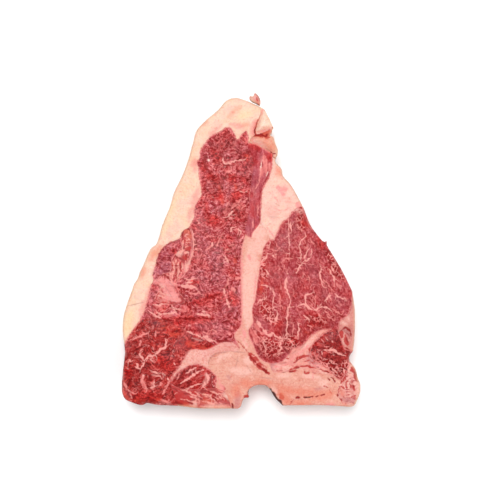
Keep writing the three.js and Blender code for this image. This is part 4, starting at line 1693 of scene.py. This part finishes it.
@dataclass
class BackMuscle(Muscle):
    """The oblique-grained muscle beside the vertebra's left lobe."""

    name: str = "back_muscle"
    slot: Slot = Slot.DARK_LEAN
    rounds: str = "bandBack backBone -backTrim"
    reach: float = 8.0
    finish: Finish = Lean(
        deepest=(114, 2, 4), deep=(146, 22, 21), middle=(172, 44, 42), light=(200, 74, 71),
        lightest=(226, 104, 100), seam=(216, 94, 90), angle=28.0, comb=2.6, swirl=1.0, bloom=0.2, threads=0.3,
    )
    marks: Marks = sketch("""
        deep 8: -36,-86 -42,-90 -48,-96; -38,-95.4 -46,-97
        pale 4: -21,-90 -20.4,-97
        marbled 2.4: -20.4,-91 -20,-97
        grey 3.8: -25.6,-88.4 -24.4,-92 -26,-95 -27.4,-98
        fat 1.5 twigs=0.1: -44,-95.5 -40,-93 -35,-90 -31,-87 -27,-85.5
        fat 1 twigs=0.1: -40,-88 -36,-85.5 -32,-83.6; -28,-95.6 -33,-96.6 -38,-98.4 -41,-99.6
        fat 1.6 twigs=0.4: -25,-87.6 -24,-91 -24.6,-95; -26,-94 -27.6,-98
        pink 0.8: -47,-92.6 -45,-90
        dark 1.6 depth=0.3: -21.4,-88.6 -22,-93 -21.6,-97.4
        dark 1.2: -31,-83.6 -30,-83.8; -39,-97.4 -37,-97.6; -49,-97 -44,-98
    """)


@dataclass
class ChineTrim(FatBody):
    """The streaky fat and meat along the sawn edge below it."""

    name: str = "chine_trim"
    rounds: str = "backTrim trimBone trimRim -sirloinTrim"
    ripple: float = 0.5
    finish: Finish = Fat(
        warm=(242, 156, 136), cream=(240, 148, 138), blush=(230, 132, 126), pink=(216, 112, 106),
        streaks=0.95, streak_size=2.6, angle=-16.0, comb=3.4,
    )
    marks: Marks = sketch("""
        cream 4.2: -26,-112 -20,-112.6 -9,-112.6; -12,-103 -8,-106; -36,-111 -33,-110.4
        red 4.4 ragged=0.5: -50.6,-102 -46,-104 -40,-105.4 -34,-106; -49.6,-105.4 -46,-108
        red 1.8: -51,-104 -45,-104.4 -40,-105; -49,-106.6 -42,-107; -45,-101.8 -40,-103.6 -36,-106
        red 1.3: -51,-96.6 -47,-99 -42,-101; -49,-100.4 -45,-102; -47,-97 -43,-98.8
        red 2.4 ragged=0.5: -37,-101.6 -31,-102.4; -35,-103.6 -29,-104.8; -47,-109 -38,-109.4
        red 2.2: -28,-105.6 -22,-108; -26,-102 -20,-104; -14,-106 -10,-108
        orange 3: -28,-108 -21,-109; -41,-111.4 -34,-112.4; -20,-113.4 -9,-113.6
        pink 1: -36,-104.4 -30,-106
        fat 0.6: -50,-103.4 -46,-102.4; -44,-106.6 -40,-107
        fat 0.9: -44,-99.9 -39,-101 -34,-104 -28,-106
        fat 0.8: -40,-107 -36,-108.5 -30,-109.5; -38,-104 -33,-106 -31,-107; -34,-101.5 -30,-104
        fat 1: -22,-101 -17,-103 -13,-103.6; -26,-103 -20,-106.4 -18,-109; -28,-108.4 -22,-109.6 -17,-109.4; \
            -16,-104.6 -12,-107.6; -30,-112 -24,-112.4
        dark 1 depth=0.5: -25,-101.2 -20,-103.5 -18,-105; -21,-105 -18,-107.5 -16.4,-108.6
        dark 1.2: -50,-98.6 -46,-100.8; -42,-102.4 -37,-103.4; -40,-108.6 -34,-110.6; -32,-104.8 -28,-107.2
        dark 2.4: -49,-108.4 -45,-110.4 -42,-111; -29,-101 -25,-100.6
    """)


@dataclass
class FlankStrip(Muscle):
    """The long smooth muscle beside the stem, up to the folds of fat."""

    name: str = "flank_strip"
    rounds: str = "foldUnder -flankFat -flankBone -loinFlank"
    reach: float = 6.0
    grit: float = 0.14
    tear: float = 0.2
    finish: Finish = Lean(
        deep=(166, 52, 59), middle=(190, 81, 88), light=(214, 114, 119), angle=84.0, comb=5.0, swirl=0.6,
        grain=0.15, threads=0.25, slits=0.3, mottle=0.5, bloom=0.5,
    )
    marks: Marks = sketch("""
        mauve 4: 5,13 7,22; 10.6,60 10.8,48 9,36; 16,68 18,60
        red 5: 5,77 9,77 13,74; 18,71 21,70 20,67
        red 2.4: 8.6,32 9,26; 10.6,22 11.4,17
        blush 3: 17,70 17.4,64 18,57; 20.4,64 20.6,59; 15.4,62 14.6,55
        pink 1.3 ragged=0.15 twigs=0: 16.6,72 16.4,67 17.4,61; 18.8,68 18.4,62 18,57; 20.8,65 20.4,60
        pink 0.9 ragged=0.15 twigs=0: 15,60 13.6,54 12.6,49; 10.5,46 12.4,49.4 13.6,52; 8.6,23 8.6,17.4
        pink 0.7 ragged=0.15 twigs=0: 6.2,48 6,36; 12.6,36 12,26; 3,42 2.2,28
        cream 0.8 ragged=0.1: 15.4,67 14.2,61 13.6,56; 19.6,58.6 18.4,55
        dark 1.3: 20.4,56.6 17.6,51.6 15,47
        dark 0.8: 8.6,70 8.4,64 7.6,57; 13.2,28 13.4,21.6; 14.4,46 13.8,38
        dark 1.4: 4.4,73.6 7,72; 20.4,67.4 22,69
    """)


@dataclass
class LoinFat(FatBody):
    """The pale fat at the top right of the stem."""

    name: str = "loin_fat"
    rounds: str = "foldTip loinFatRim fatFillet -fatBone flankFat"
    finish: Finish = Fat(
        warm=(245, 199, 178), cream=(245, 199, 183), blush=(240, 183, 169), pink=(235, 162, 150), flecks=0.25,
    )
    marks: Marks = sketch("""
        blush 3.4 ragged=0.6: 26,46.6 30,45 33.4,46; 29,43 32,42.4; 41,35 43.6,34.4
        pink 1 ragged=0.4: 32,36.6 34.4,36.4 36,37.8; 31,47.6 33,46.4
        blush 0.7: 19,17.6 22,13.4 24,10.6; 20,44 26,38 28,33; 22,33 30,30 35,32
        orange 4: 25.6,62 27.6,58 29,55.4
        orange 1.6: 25.2,56.8 28.4,55.4; 25.6,61.4 27.4,60
        dark 0.9 ragged=0: 22.9,70.4 23.4,68.8 24.8,68.3 26,69.2 26.2,70.2
        grey 0.8 ragged=0.15: 25.6,64 29.8,59.8 30.4,55.2 35.8,49 39.6,42.8 45,32.4
        grey 0.5: 20,25.6 26,25.4; 24,36 28,33.4
    """)


@dataclass
class Tenderloin(Muscle):
    """The marbled fillet right of the stem."""

    name: str = "tenderloin"
    rounds: str = "fatFillet boneFillet filletSeam filletSide filletEdge -filletRim"
    swell: float = 1.3
    finish: Finish = Lean(
        deep=(154, 36, 42), middle=(182, 68, 72), light=(211, 106, 109), angle=-62.0, comb=2.0, swirl=3.0,
        mottle=0.66, bundle=1.5, grain=0.5, threads=0.45, slits=0.4,
    )
    marks: Marks = sketch("""
        deep 11: 34,-50 34,-60 44,-58; 46,-54 58,-52 70,-50; 15,-66 20,-72 25,-77
        deep 6: 43,24 42,18; 34,15 34,10; 69,-8 70,-18; 61,-24 60,-34 62,-42
        pale 7: 25,-12 26,-22; 34,-16 34,-32; 15,-48 15,-53
        marbled 12: 17,-66 22,-70 27,-72; 38,-64 36,-68
        marbled 8: 16,-38 20,-46 25,-52; 50,-49 60,-51
        marbled 4.4: 42,27 44,15; 16,4 15,-8 18,-20; 62,2 70,-14 74,-20
        mauve 9: 62,-29 70,-35 78,-34; 31,12 30,2; 50,-12 54,-20
        red 4: 14,-26 14,-30; 45,23 48,21; 47,-54 56,-51
        red 3.6: 56,10 60,2; 36,-66 40,-64; 28,-50 28,-56
        deep 9: 13,-66 15,-71 19,-75; 28,-73 35,-69 43,-65.6
        orange 2: 15.4,-19 14,-31; 47,-58 50,-60
        pink 0.8: 30.5,-3.6 35,-5 38,-5; 31,-9 31,-14; 48.5,-17 50,-19.4 47,-20; 54,-31 53.8,-38; 38,-52 \
            37.4,-60; 28,-30 28.6,-42; 60,-20 64,-24 66,-30; 50,10 54,4; 22,2 27,1
        pink 0.9: 60,-42 66,-47; 54.5,-42 57,-46 59,-49; 48,-53 52,-54.5; 62,-46 68,-50; 66,-41 73,-46
        fat 0.7 ragged=0.15 twigs=0.1: 34.4,25 34.6,15 35,5 35,-4
        fat 0.95: 46.5,14 47,11 44.5,9 43,7 42.3,4 43,0 43.2,-4 43.5,-8; 44,-8.6 42,-11 41.5,-13 40,-15.6; \
            57,-9 58,-12 57.3,-15 58,-19 59,-24; 63.5,-12 65.5,-15.5 67,-18 67.5,-21 67.5,-25; 66.5,-9.6 \
            66.3,-13 67.5,-15; 35.5,-33 35.8,-38 34,-42 33.6,-47 33.6,-52 33,-56 32.6,-60 31,-62.4; 23,-26 \
            23.8,-30 23.3,-36 23.5,-41 26.5,-44 26,-50; 12,-38 13,-36 17,-34.6 18.5,-32
        fat 0.9 ragged=0.25 twigs=0.1: 50.4,4 48.4,1.4 46.8,-1.6 46.2,-5 47.4,-6.6 49.8,-4.6 51.4,-1 51.2,2.6
        fat 1: 19.3,-0.4 18.5,-3 15.6,-6 15,-8; 16.6,-13 19,-14 20.6,-16; 13.6,-24.4 20,-24.6 22,-28; 53,-29 \
            50,-30.5 47.3,-31 46.6,-35 47,-38.4; 60.4,-36 62,-33.5 65.5,-31.4
        fat 0.7: 22.5,-2 25.4,-4.4; 21,8 20.5,3.6; 33,-15 34.6,-16; 36,22 36.4,14; 30,-63 36,-63
        fat 1.5 twigs=0.15: 33.4,-18.6 32.3,-22 32.6,-25 33.8,-28 34.5,-31 35.6,-34
        fat 1.15: 40.4,-39.6 43,-38.5 46.5,-38.2 50,-40.5 53,-42 56,-40.5 60,-40 63,-40.6 66,-43
        fat 0.8: 68,-30 71,-32.5 75,-34.6; 41,-51 42,-55 41.5,-58 41.5,-62; 45,-46 50,-49
        fat 1.3 ragged=0.5 twigs=0.5: 15.4,-55 17.4,-57.6 20,-60.4 23,-59.4 26,-61.4 30.4,-63
        fat 1.5 ragged=0.5 twigs=0.4: 10.4,-50.6 13,-52 15.4,-55; 25.6,-46.4 26,-49.6
        fat 0.8 ragged=0.4 twigs=0.5: 30.4,-63 28,-66.6 29,-70 27.6,-75; 17,-61 16,-66 18,-71; 36,-63 37,-68
        blush 2.6: 6.6,-56 9,-60.6 12,-66; 10,-52 13,-57; 41,31 45,29.4
        pink 1: 8,-54 10.6,-59 14,-63; 12,-56.6 16,-60; 9,-62 11,-67; 14,-61 18,-64
        cream 1.5 ragged=0.5: 39.6,30.2 41.4,31.6; 42,29 44.4,30.6
        grey 2.4 twigs=0.4: 38.4,29.6 41,31.6; 40.4,28.4 43.4,31; 42.6,28 45.4,30
        dark 0.8: 38,28.6 40,27; 42,30 43,30.4; 43,28.4 45,29; 67,-15.6 69,-18; 48,0 48.4,-4
        dark 1.1: 70,-44.4 73,-46.6 76,-46; 51,-58.4 47,-61 44,-65; 22,-78 30,-77.8; 47,-45 54,-52
    """)


@dataclass
class SeamFat(FatBody):
    """The fat seam between the tenderloin, the side muscle and the vertebra."""

    name: str = "seam_fat"
    rounds: str = "filletSeam seamSide -seamBone"
    finish: Finish = Fat(
        warm=(236, 162, 148), cream=(236, 164, 152), blush=(230, 145, 135), pink=(212, 110, 100), bleed=1.8,
        fuzz=0.34, flecks=0.8,
    )
    marks: Marks = sketch("""
        cream 3: 44,-71 48,-67.6 54,-61.6; 30,-84 36,-83.4; 24,-84.4 29,-82.6
        cream 2.6: 31,-78.6 34.6,-76; 57,-85.4 62,-88
        blush 1.4: 36,-79 42,-73.6 50,-67; 23,-84 34,-81.6; 51,-81.4 60,-84
        mauve 6.4: 50,-73.6 51.4,-79 55,-81.6; 21.6,-82 24,-83
        red 0.6 ragged=0.4: 49.6,-75 51,-77.4; 52,-78.4 54.4,-80; 50.6,-79.6 52.6,-81.6
        grey 0.8: 28,-81.6 33,-80; 51,-79 54,-81; 37,-74 40,-71.4; 43,-70.4 47,-66
        red 2.4 depth=0.3: 38.4,-80.4 41,-77.8 44.6,-76.2 49.1,-75.3
        red 1.5: 34.6,-86.4 39,-84 42.8,-83 48,-82.8 54.6,-84.4; 50,-69.6 49.6,-73
        red 1: 32,-77.4 35,-77; 56,-85 60.4,-86.4 66,-88.4; 26,-86.2 30,-86; 45,-79.6 50,-78.6
        fat 0.8: 40,-79.4 44,-77.6 48,-76.8; 41,-81.6 46,-80.6 52,-82; 58,-83.4 62,-86; 31,-79 35,-78.8
        fat 0.7: 50,-66 54.6,-61; 46,-73.6 48.6,-71; 28,-84.6 33,-84.4; 38,-76 41,-74.6
        dark 1.1: 39.6,-79.8 41.6,-78 44.4,-76.8; 39.4,-84.2 42.4,-83.6; 54.6,-83.2 56.6,-84; 60.4,-86.2 \
            64,-87.4
    """)


@dataclass
class SideMuscle(Muscle):
    """The small dark muscle at the right, with one pale vein."""

    name: str = "side_muscle"
    slot: Slot = Slot.DARK_LEAN
    rounds: str = "filletSide sideEdge sideRim -sideBulb -seamSide"
    reach: float = 8.0
    finish: Finish = Lean(
        deepest=(98, 0, 2), deep=(128, 14, 14), middle=(157, 36, 35), light=(187, 66, 63),
        lightest=(218, 98, 93), seam=(208, 88, 84), bloom=0.1, grain=0.5,
    )
    marks: Marks = sketch("""
        deep 9: 63,-66 71,-67; 66,-75 71,-78; 68,-86 70,-88
        mauve 5: 64,-61 70,-60; 56,-72 58,-74
        marbled 7 ragged=0.5: 56,-77 64,-84 71,-90; 75,-81 76,-86
        blush 0.9 twigs=0.2: 52,-74 55,-75.6; 52.6,-78 56.4,-77.6; 54,-72.6 54.6,-79
        pink 0.55 twigs=0.2: 58,-63 60.6,-66; 60,-68 62.5,-70; 72,-91.6 74.4,-93 73,-95; 56,-79 61,-81
        fat 1.3 ragged=0.12 twigs=0.1: 59.5,-71 63,-71.2 67.5,-71.2 70.5,-73.5 74.5,-75 77,-76.4
        fat 0.5 ragged=0.5: 59.3,-71.4 59.3,-75; 61,-61.5 63,-64.5; 70,-84.6 73.4,-86; 64,-79 67,-80.6; \
            66,-64 67,-65.6; 75,-79 78,-81; 66,-72.6 68,-74.6
        fat 0.9: 62,-84.6 66,-87.6 70,-90.4; 66,-84 70,-88; 74,-84 75.4,-88
        dark 1.6: 70.5,-87.6 72.4,-89.6; 62,-85.4 66,-88.4 70,-91; 69,-76.6 73,-78
    """)


@dataclass
class EdgeFat(FatBody):
    """The fat on the right edge, with a grey and red lens in it."""

    name: str = "edge_fat"
    rounds: str = "filletEdge edgeFatRim -sideEdge"
    reach: float = 5.0
    finish: Finish = Fat(
        warm=(220, 146, 135), cream=(222, 150, 140), blush=(208, 130, 121), pink=(190, 98, 92), bleed=1.8,
        fuzz=0.2, flecks=0.7,
    )
    marks: Marks = sketch("""
        cream 1.6: 76.4,-46 78,-49.6
        cream 1.3: 72.4,-50 76.6,-53; 74.5,-58.5 75.6,-61 77,-64; 72.6,-61 74.4,-66
        mauve 5.2: 76,-57 78.4,-61; 79.6,-33 80.4,-40
        orange 2.4: 77,-71 79.4,-73
        red 2.8: 75.6,-59.6 76.2,-64 77.4,-68; 72.6,-58 73,-62
        grey 3: 74.4,-57 77.6,-57.6 79.4,-61
        dark 1.5 depth=0.2: 72.5,-57.2 75,-55.3 78,-56.2 80,-59.8 80,-61.6; 75,-73.4 79,-75.4
        dark 1: 76.6,-62 77.4,-66; 75.6,-69.4 79,-71
        grey 2.2: 75.4,-56.6 79,-59
        dark 0.6: 76,-58.4 78.4,-60.6 79,-63
    """)


@dataclass
class GristleBulb(FatBody):
    """The rounded lump of gristle and fat at the lower right corner."""

    name: str = "gristle_bulb"
    rounds: str = "sideBulb bulbRim -boneBulb"
    swell: float = 0.9
    reach: float = 7.0
    sink: float = 0.7
    lump: float = 0.6
    lump_size: float = 4.0
    finish: Finish = Fat(
        warm=(240, 178, 163), cream=(240, 176, 166), blush=(226, 153, 144), pink=(214, 130, 122),
        streaks=0.32, streak_size=2.4, fuzz=0.1,
    )
    marks: Marks = sketch("""
        mauve 3.4: 74,-108.4 82,-107.4; 80.6,-82.6 84,-88 85.4,-94
        cream 3.2: 76.6,-93 79,-97.4
        cream 2: 82.4,-95.4 85.4,-99 85.4,-102; 77,-82 78.6,-86 80,-90; 78,-102 80,-105
        orange 3: 71.6,-101 74.5,-103; 72,-110 76,-111
        red 3.2 taper=0.5: 80.6,-84.4 82.8,-88.6 84.4,-93.6
        red 1.3: 63.6,-90.1 66,-91.6 67.6,-94.6; 72.4,-87.6 75,-90 75.6,-93; 79,-95 80,-99
        red 1.2: 78,-92.6 76,-96.4 77,-100; 76,-88 75,-92 72.6,-95; 81,-96.5 82.5,-100.5
        red 0.9: 72.4,-97.6 75,-99; 76,-104 79,-103.4; 70.6,-106 73.6,-108; 80,-105.4 83.4,-104
        dark 0.9: 81.2,-96.4 82,-98.4; 82.4,-87 83.8,-91; 70,-103.4 71,-104.4; 72.4,-106.6 73.2,-107.4
        grey 0.9: 74,-111.4 80,-111.2 84,-107; 76,-108.6 80,-107.6
    """)


@dataclass
class FatCap(FatBody):
    """The cream fat cap along the left and over the narrow end."""

    name: str = "fat_cap"
    slot: Slot = Slot.CAP_FAT
    rounds: str = "capRind capFold capLobe capLoin capWeb capRib capWebLow capBelly capLoinLow capSirloin"
    finish: Finish = Fat(
        warm=(245, 204, 173), cream=(246, 209, 185), blush=(243, 197, 179), pink=(237, 172, 156), flecks=0.25,
    )
    # The last orange and red strokes, along the upper lobe's left edge, are painted shade of the crease there
    marks: Marks = sketch("""
        yellow 6: -57,12 -52,27 -47,40; -83,-62 -82.6,-52 -79,-42; 0,99 6,101
        orange 5 twigs=0: -58,4 -61,1 -66,-6; -70,-12 -73,-18
        orange 3: -9,98 -4,103 0,105; -33.4,63 -33.4,68; -28,92 -25,95; 0,91 6,92.6
        pink 4: -38,22 -35,32 -31,46; -33.6,58 -33,67; -65.4,-24 -68,-34 -73,-46
        pink 3: 8.6,84 8.6,90 11,96; -24,84 -14,92; -8,93 2,90; -82,-64 -76,-56
        grey 0.7 depth=0.2: -84,-39.6 -77,-38 -70.6,-36.6
        grey 0.9: -54.4,17.4; -28,93.4 -26.6,94.6
        orange 3 ragged=0: 12,96 9.4,91 8.2,87 8.2,84
        red 1.5 ragged=0: 12.2,96 10.6,92.6 9.4,89 9,86.6 9.4,84.8
        dark 0.8 taper=0.6: -44,10.6 -42.4,14 -40,16.4
    """)


@dataclass
class FatFold(FatBody):
    """A rounded lobe of fat folded over at the narrow end."""

    slot: Slot = Slot.CAP_FAT
    swell: float = 2.8
    reach: float = 5.0
    ripple: float = 0.2
    sink: float = 1.9
    lump: float = 0.2


@dataclass
class UpperFold(FatFold):
    """The upper lobe."""

    name: str = "fold_upper"
    rounds: str = "capFold foldCrease -upperFoldRind"
    finish: Finish = Fat(
        warm=(255, 224, 200), cream=(255, 224, 201), blush=(255, 214, 192), bleed=0.8, flecks=0.3,
    )
    # The orange, red and dark strokes along its left and lower edges are painted shade of the crease where it
    # meets the cap and the lower lobe
    marks: Marks = sketch("""
        pink 2.2: 13,99 16,104
        orange 4 ragged=0: 11,88 15,87.4 21.8,90.6; 13,98 10.8,94 9.8,88 10.4,85.6
        blush 0.8 ragged=0.1: 10.8,86.4 15,87.4 22.6,90.2; 13.6,100 12.2,96; 15,101 15.8,104
        red 2.2 ragged=0 taper=0.85: 13.2,98 11.2,94.4 10,90 9.8,87 10.6,85.4 13,85.2
        dark 1.1 ragged=0: 11.6,95 9.9,90 9.7,87 10.4,85.2 13,85
        dark 0.9 ragged=0: 13.4,85.6 17.6,87 22,89.4; 22.6,90 23.2,91
    """)


@dataclass
class LowerFold(FatFold):
    """The lower lobe, with the crease over it painted dark as shade, and the curled tip."""

    name: str = "fold_lower"
    rounds: str = "capLobe foldUnder foldTip -lowerFoldRind -foldCrease"
    swell: float = 2.4
    finish: Finish = Fat(warm=(236, 180, 150), cream=(242, 190, 166), blush=(230, 164, 140), bleed=0.8)
    # The red, orange and dark strokes along the crease, and the orange streak running down from it, are
    # painted shade of the upper lobe
    marks: Marks = sketch("""
        cream 3.8 twigs=0: 7.6,82 12,80.4; 11,80 18,76.8; 24.4,70 24.6,69.8
        blush 1.3: 7.4,81 8.6,82.4; 9,79 12,78.4
        pink 1.2: 11,78 17,74.8 22,72.2
        red 3.2 ragged=0: 14.6,85 18.4,86 22.2,88.6; 17,85.4 18.4,83.6 21,85
        orange 4.8 ragged=0: 14,84.6 18,84.6 22,88; 18,83 18.4,77.4; 20,78 23,74.6
        orange 2.6: 9,84.6 13,83.2 17,81.6; 22.6,80 25,75.6
        red 2 ragged=0: 8.8,84.6 10.8,84.8 13.4,84.4 16.4,83.2
        dark 1.6 ragged=0: 9.6,84.9 11.6,85 14,84.8; 13,85.2 16,85.9
        dark 1.3 ragged=0.2: 13.6,84.4 16.4,84.2 19,83.6; 18,84.6 20.6,86.4
        dark 0.9 ragged=0: 21.4,73 23,71.4; 23.2,69.2 22.9,70.4 23.8,71.5 25.4,71.3 26.2,70 25.4,68.6 \
            23.8,68.5
        grey 0.8: 25.6,78 26.2,74; 18,75.4 22.4,72.6
    """)


@dataclass
class MeatFlake(FatBody):
    """The pinkish flake that stands off the narrow end."""

    name: str = "meat_flake"
    edge: str = "8.2,109.2 6,111.6 6.4,113.3 8.7,113.2 10,115.8 12.6,113.6 14.2,110 13.7,106.6 11,108"
    floor: float = 30.0
    rim_drop: float = 2.4
    rim_width: float = 1.4
    sway: float = 0.3
    swell: float = 0.6
    reach: float = 3.0
    sink: float = 0.9
    finish: Finish = Fat(
        warm=(226, 136, 128), cream=(232, 150, 146), blush=(206, 108, 106), pink=(190, 84, 84), streaks=0.3,
        streak_size=2.0, bleed=0.2, flecks=0.2,
    )
    marks: Marks = sketch("""
        cream 1.3 ragged=0: 7.6,112.4 9,110.4; 10,113.6 10.4,111.4
        red 1.3 ragged=0: 11,112.4 12.4,109; 9.6,109.6 12.8,107.4
        mauve 2.4 ragged=0: 12,113 13.6,110; 6.4,111.4 7,113
        orange 2 ragged=0: 9,109.4 13,107
        grey 1.6 ragged=0: 6.2,111.6 6.8,113.2; 10,115.4 12.6,113.2 13.8,110 13.4,107.4
        dark 0.6 ragged=0: 11,114.6 13,112.4 14,109.6; 8.6,109.6 11,108.2 13.4,106.8
    """)

    def ring(self, chart: SeamMap) -> Ring:
        """Gives the flake's own rounded outline."""
        points = placed(*traced(self.edge))
        line = evenly(curved(np.vstack([points, points[:1]])), SEAM_STEP)[:-1]
        ring = closed(line, np.ones(len(line), bool), np.zeros(len(line), bool))
        return Ring(np.clip(shrunk(ring.points, 0.1), chart.low, chart.high), ring.rind, ring.mixed)

    def outline(self, chart: SeamMap) -> Ring:
        """Gives the flake's own outline, which is rounded off all round."""
        return self.ring(chart)


class Studio:
    """A plain pale floor, soft light from above, and the camera straight over the steak."""

    VIEW_MM = 348.0
    LENS = 100.0
    SENSOR = 36.0
    AIM = (-0.925, 7.95)
    RELIEF = 0.5
    PALE = (0.9, 0.9, 0.9, 1.0)
    ZENITH = (0.46, 0.46, 0.46, 1.0)

    def floor(self) -> None:
        """Lays the floor under the steak."""
        bpy.ops.mesh.primitive_circle_add(vertices=96, radius=6.0, fill_type="NGON", location=(0, 0, 0))
        floor = bpy.context.object
        floor.name = "studio_floor"
        graph = Graph("studio_floor")
        graph.shader.inputs["Base Color"].default_value = self.PALE
        graph.shader.inputs["Roughness"].default_value = 0.9
        graph.shader.inputs["Specular IOR Level"].default_value = 0.1
        floor.data.materials.append(graph.material)
        floor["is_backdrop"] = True

    def lamp(self, name: str, place: tuple[float, float, float], size: float, watts: float) -> None:
        """Hangs one soft square light that faces the steak.

        Args:
            name: the light's name.
            place: where it hangs, in metres.
            size: its side, in metres.
            watts: its power.
        """
        light = bpy.data.lights.new(name, "AREA")
        light.shape = "SQUARE"
        light.size = size
        light.energy = watts
        lamp = bpy.data.objects.new(name, light)
        lamp.location = place
        middle = Vector((0, 0, THICKNESS / 2 * MM))
        lamp.rotation_euler = (middle - Vector(place)).to_track_quat("-Z", "Y").to_euler()
        bpy.context.scene.collection.objects.link(lamp)

    def sky(self) -> None:
        """Surrounds the studio with even light, paler towards the horizon."""
        world = bpy.data.worlds.new("studio")
        bpy.context.scene.world = world
        world.use_nodes = True
        tree = world.node_tree
        spot = tree.nodes.new("ShaderNodeTexCoord")
        split = tree.nodes.new("ShaderNodeSeparateXYZ")
        ramp = tree.nodes.new("ShaderNodeValToRGB")
        tree.links.new(spot.outputs["Generated"], split.inputs[0])
        tree.links.new(split.outputs["Z"], ramp.inputs[0])
        ramp.color_ramp.elements[0].color = self.PALE
        ramp.color_ramp.elements[1].color = self.ZENITH
        tree.links.new(ramp.outputs[0], tree.nodes["Background"].inputs[0])
        tree.nodes["Background"].inputs[1].default_value = 1.0

    def camera(self) -> None:
        """Hangs the camera over the shown face."""
        lens = bpy.data.cameras.new("camera")
        lens.lens = self.LENS
        lens.sensor_width = self.SENSOR
        lens.clip_end = 20.0
        camera = bpy.data.objects.new("camera", lens)
        height = THICKNESS + self.RELIEF + self.VIEW_MM * self.LENS / self.SENSOR
        camera.location = (self.AIM[0] * MM, self.AIM[1] * MM, height * MM)
        bpy.context.scene.collection.objects.link(camera)
        bpy.context.scene.camera = camera
        bpy.context.scene.view_settings.view_transform = "Standard"

    def build(self) -> None:
        """Sets up the whole studio."""
        self.floor()
        self.sky()
        self.lamp("key", (-0.12, 0.62, 2.5), 0.8, 48.0)
        self.lamp("fill", (1.2, -0.9, 2.2), 1.4, 15.0)
        self.camera()


def main() -> None:
    """Builds the steak piece by piece in its frame, and the studio round it."""
    logging.basicConfig(level=logging.INFO, format="%(name)s: %(message)s")
    solid_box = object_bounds()
    Studio().build()
    cuts: list[Cut] = [
        TBone(), StripLoin(), RibMuscle(), BellyMuscle(), WebFat(), SirloinTip(), BandFat(), BackMuscle(),
        ChineTrim(), FlankStrip(), LoinFat(), Tenderloin(), SeamFat(), SideMuscle(), EdgeFat(), GristleBulb(),
        FatCap(), UpperFold(), LowerFold(), MeatFlake(),
    ]
    low, high = ([c / MM for c in corner] for corner in solid_box)
    chart = SeamMap(low, high, [cut.rounds for cut in cuts if isinstance(cut, (Muscle, ChineTrim))])
    for cut in cuts:
        cut.build(chart)


if __name__ == "__main__":
    main()
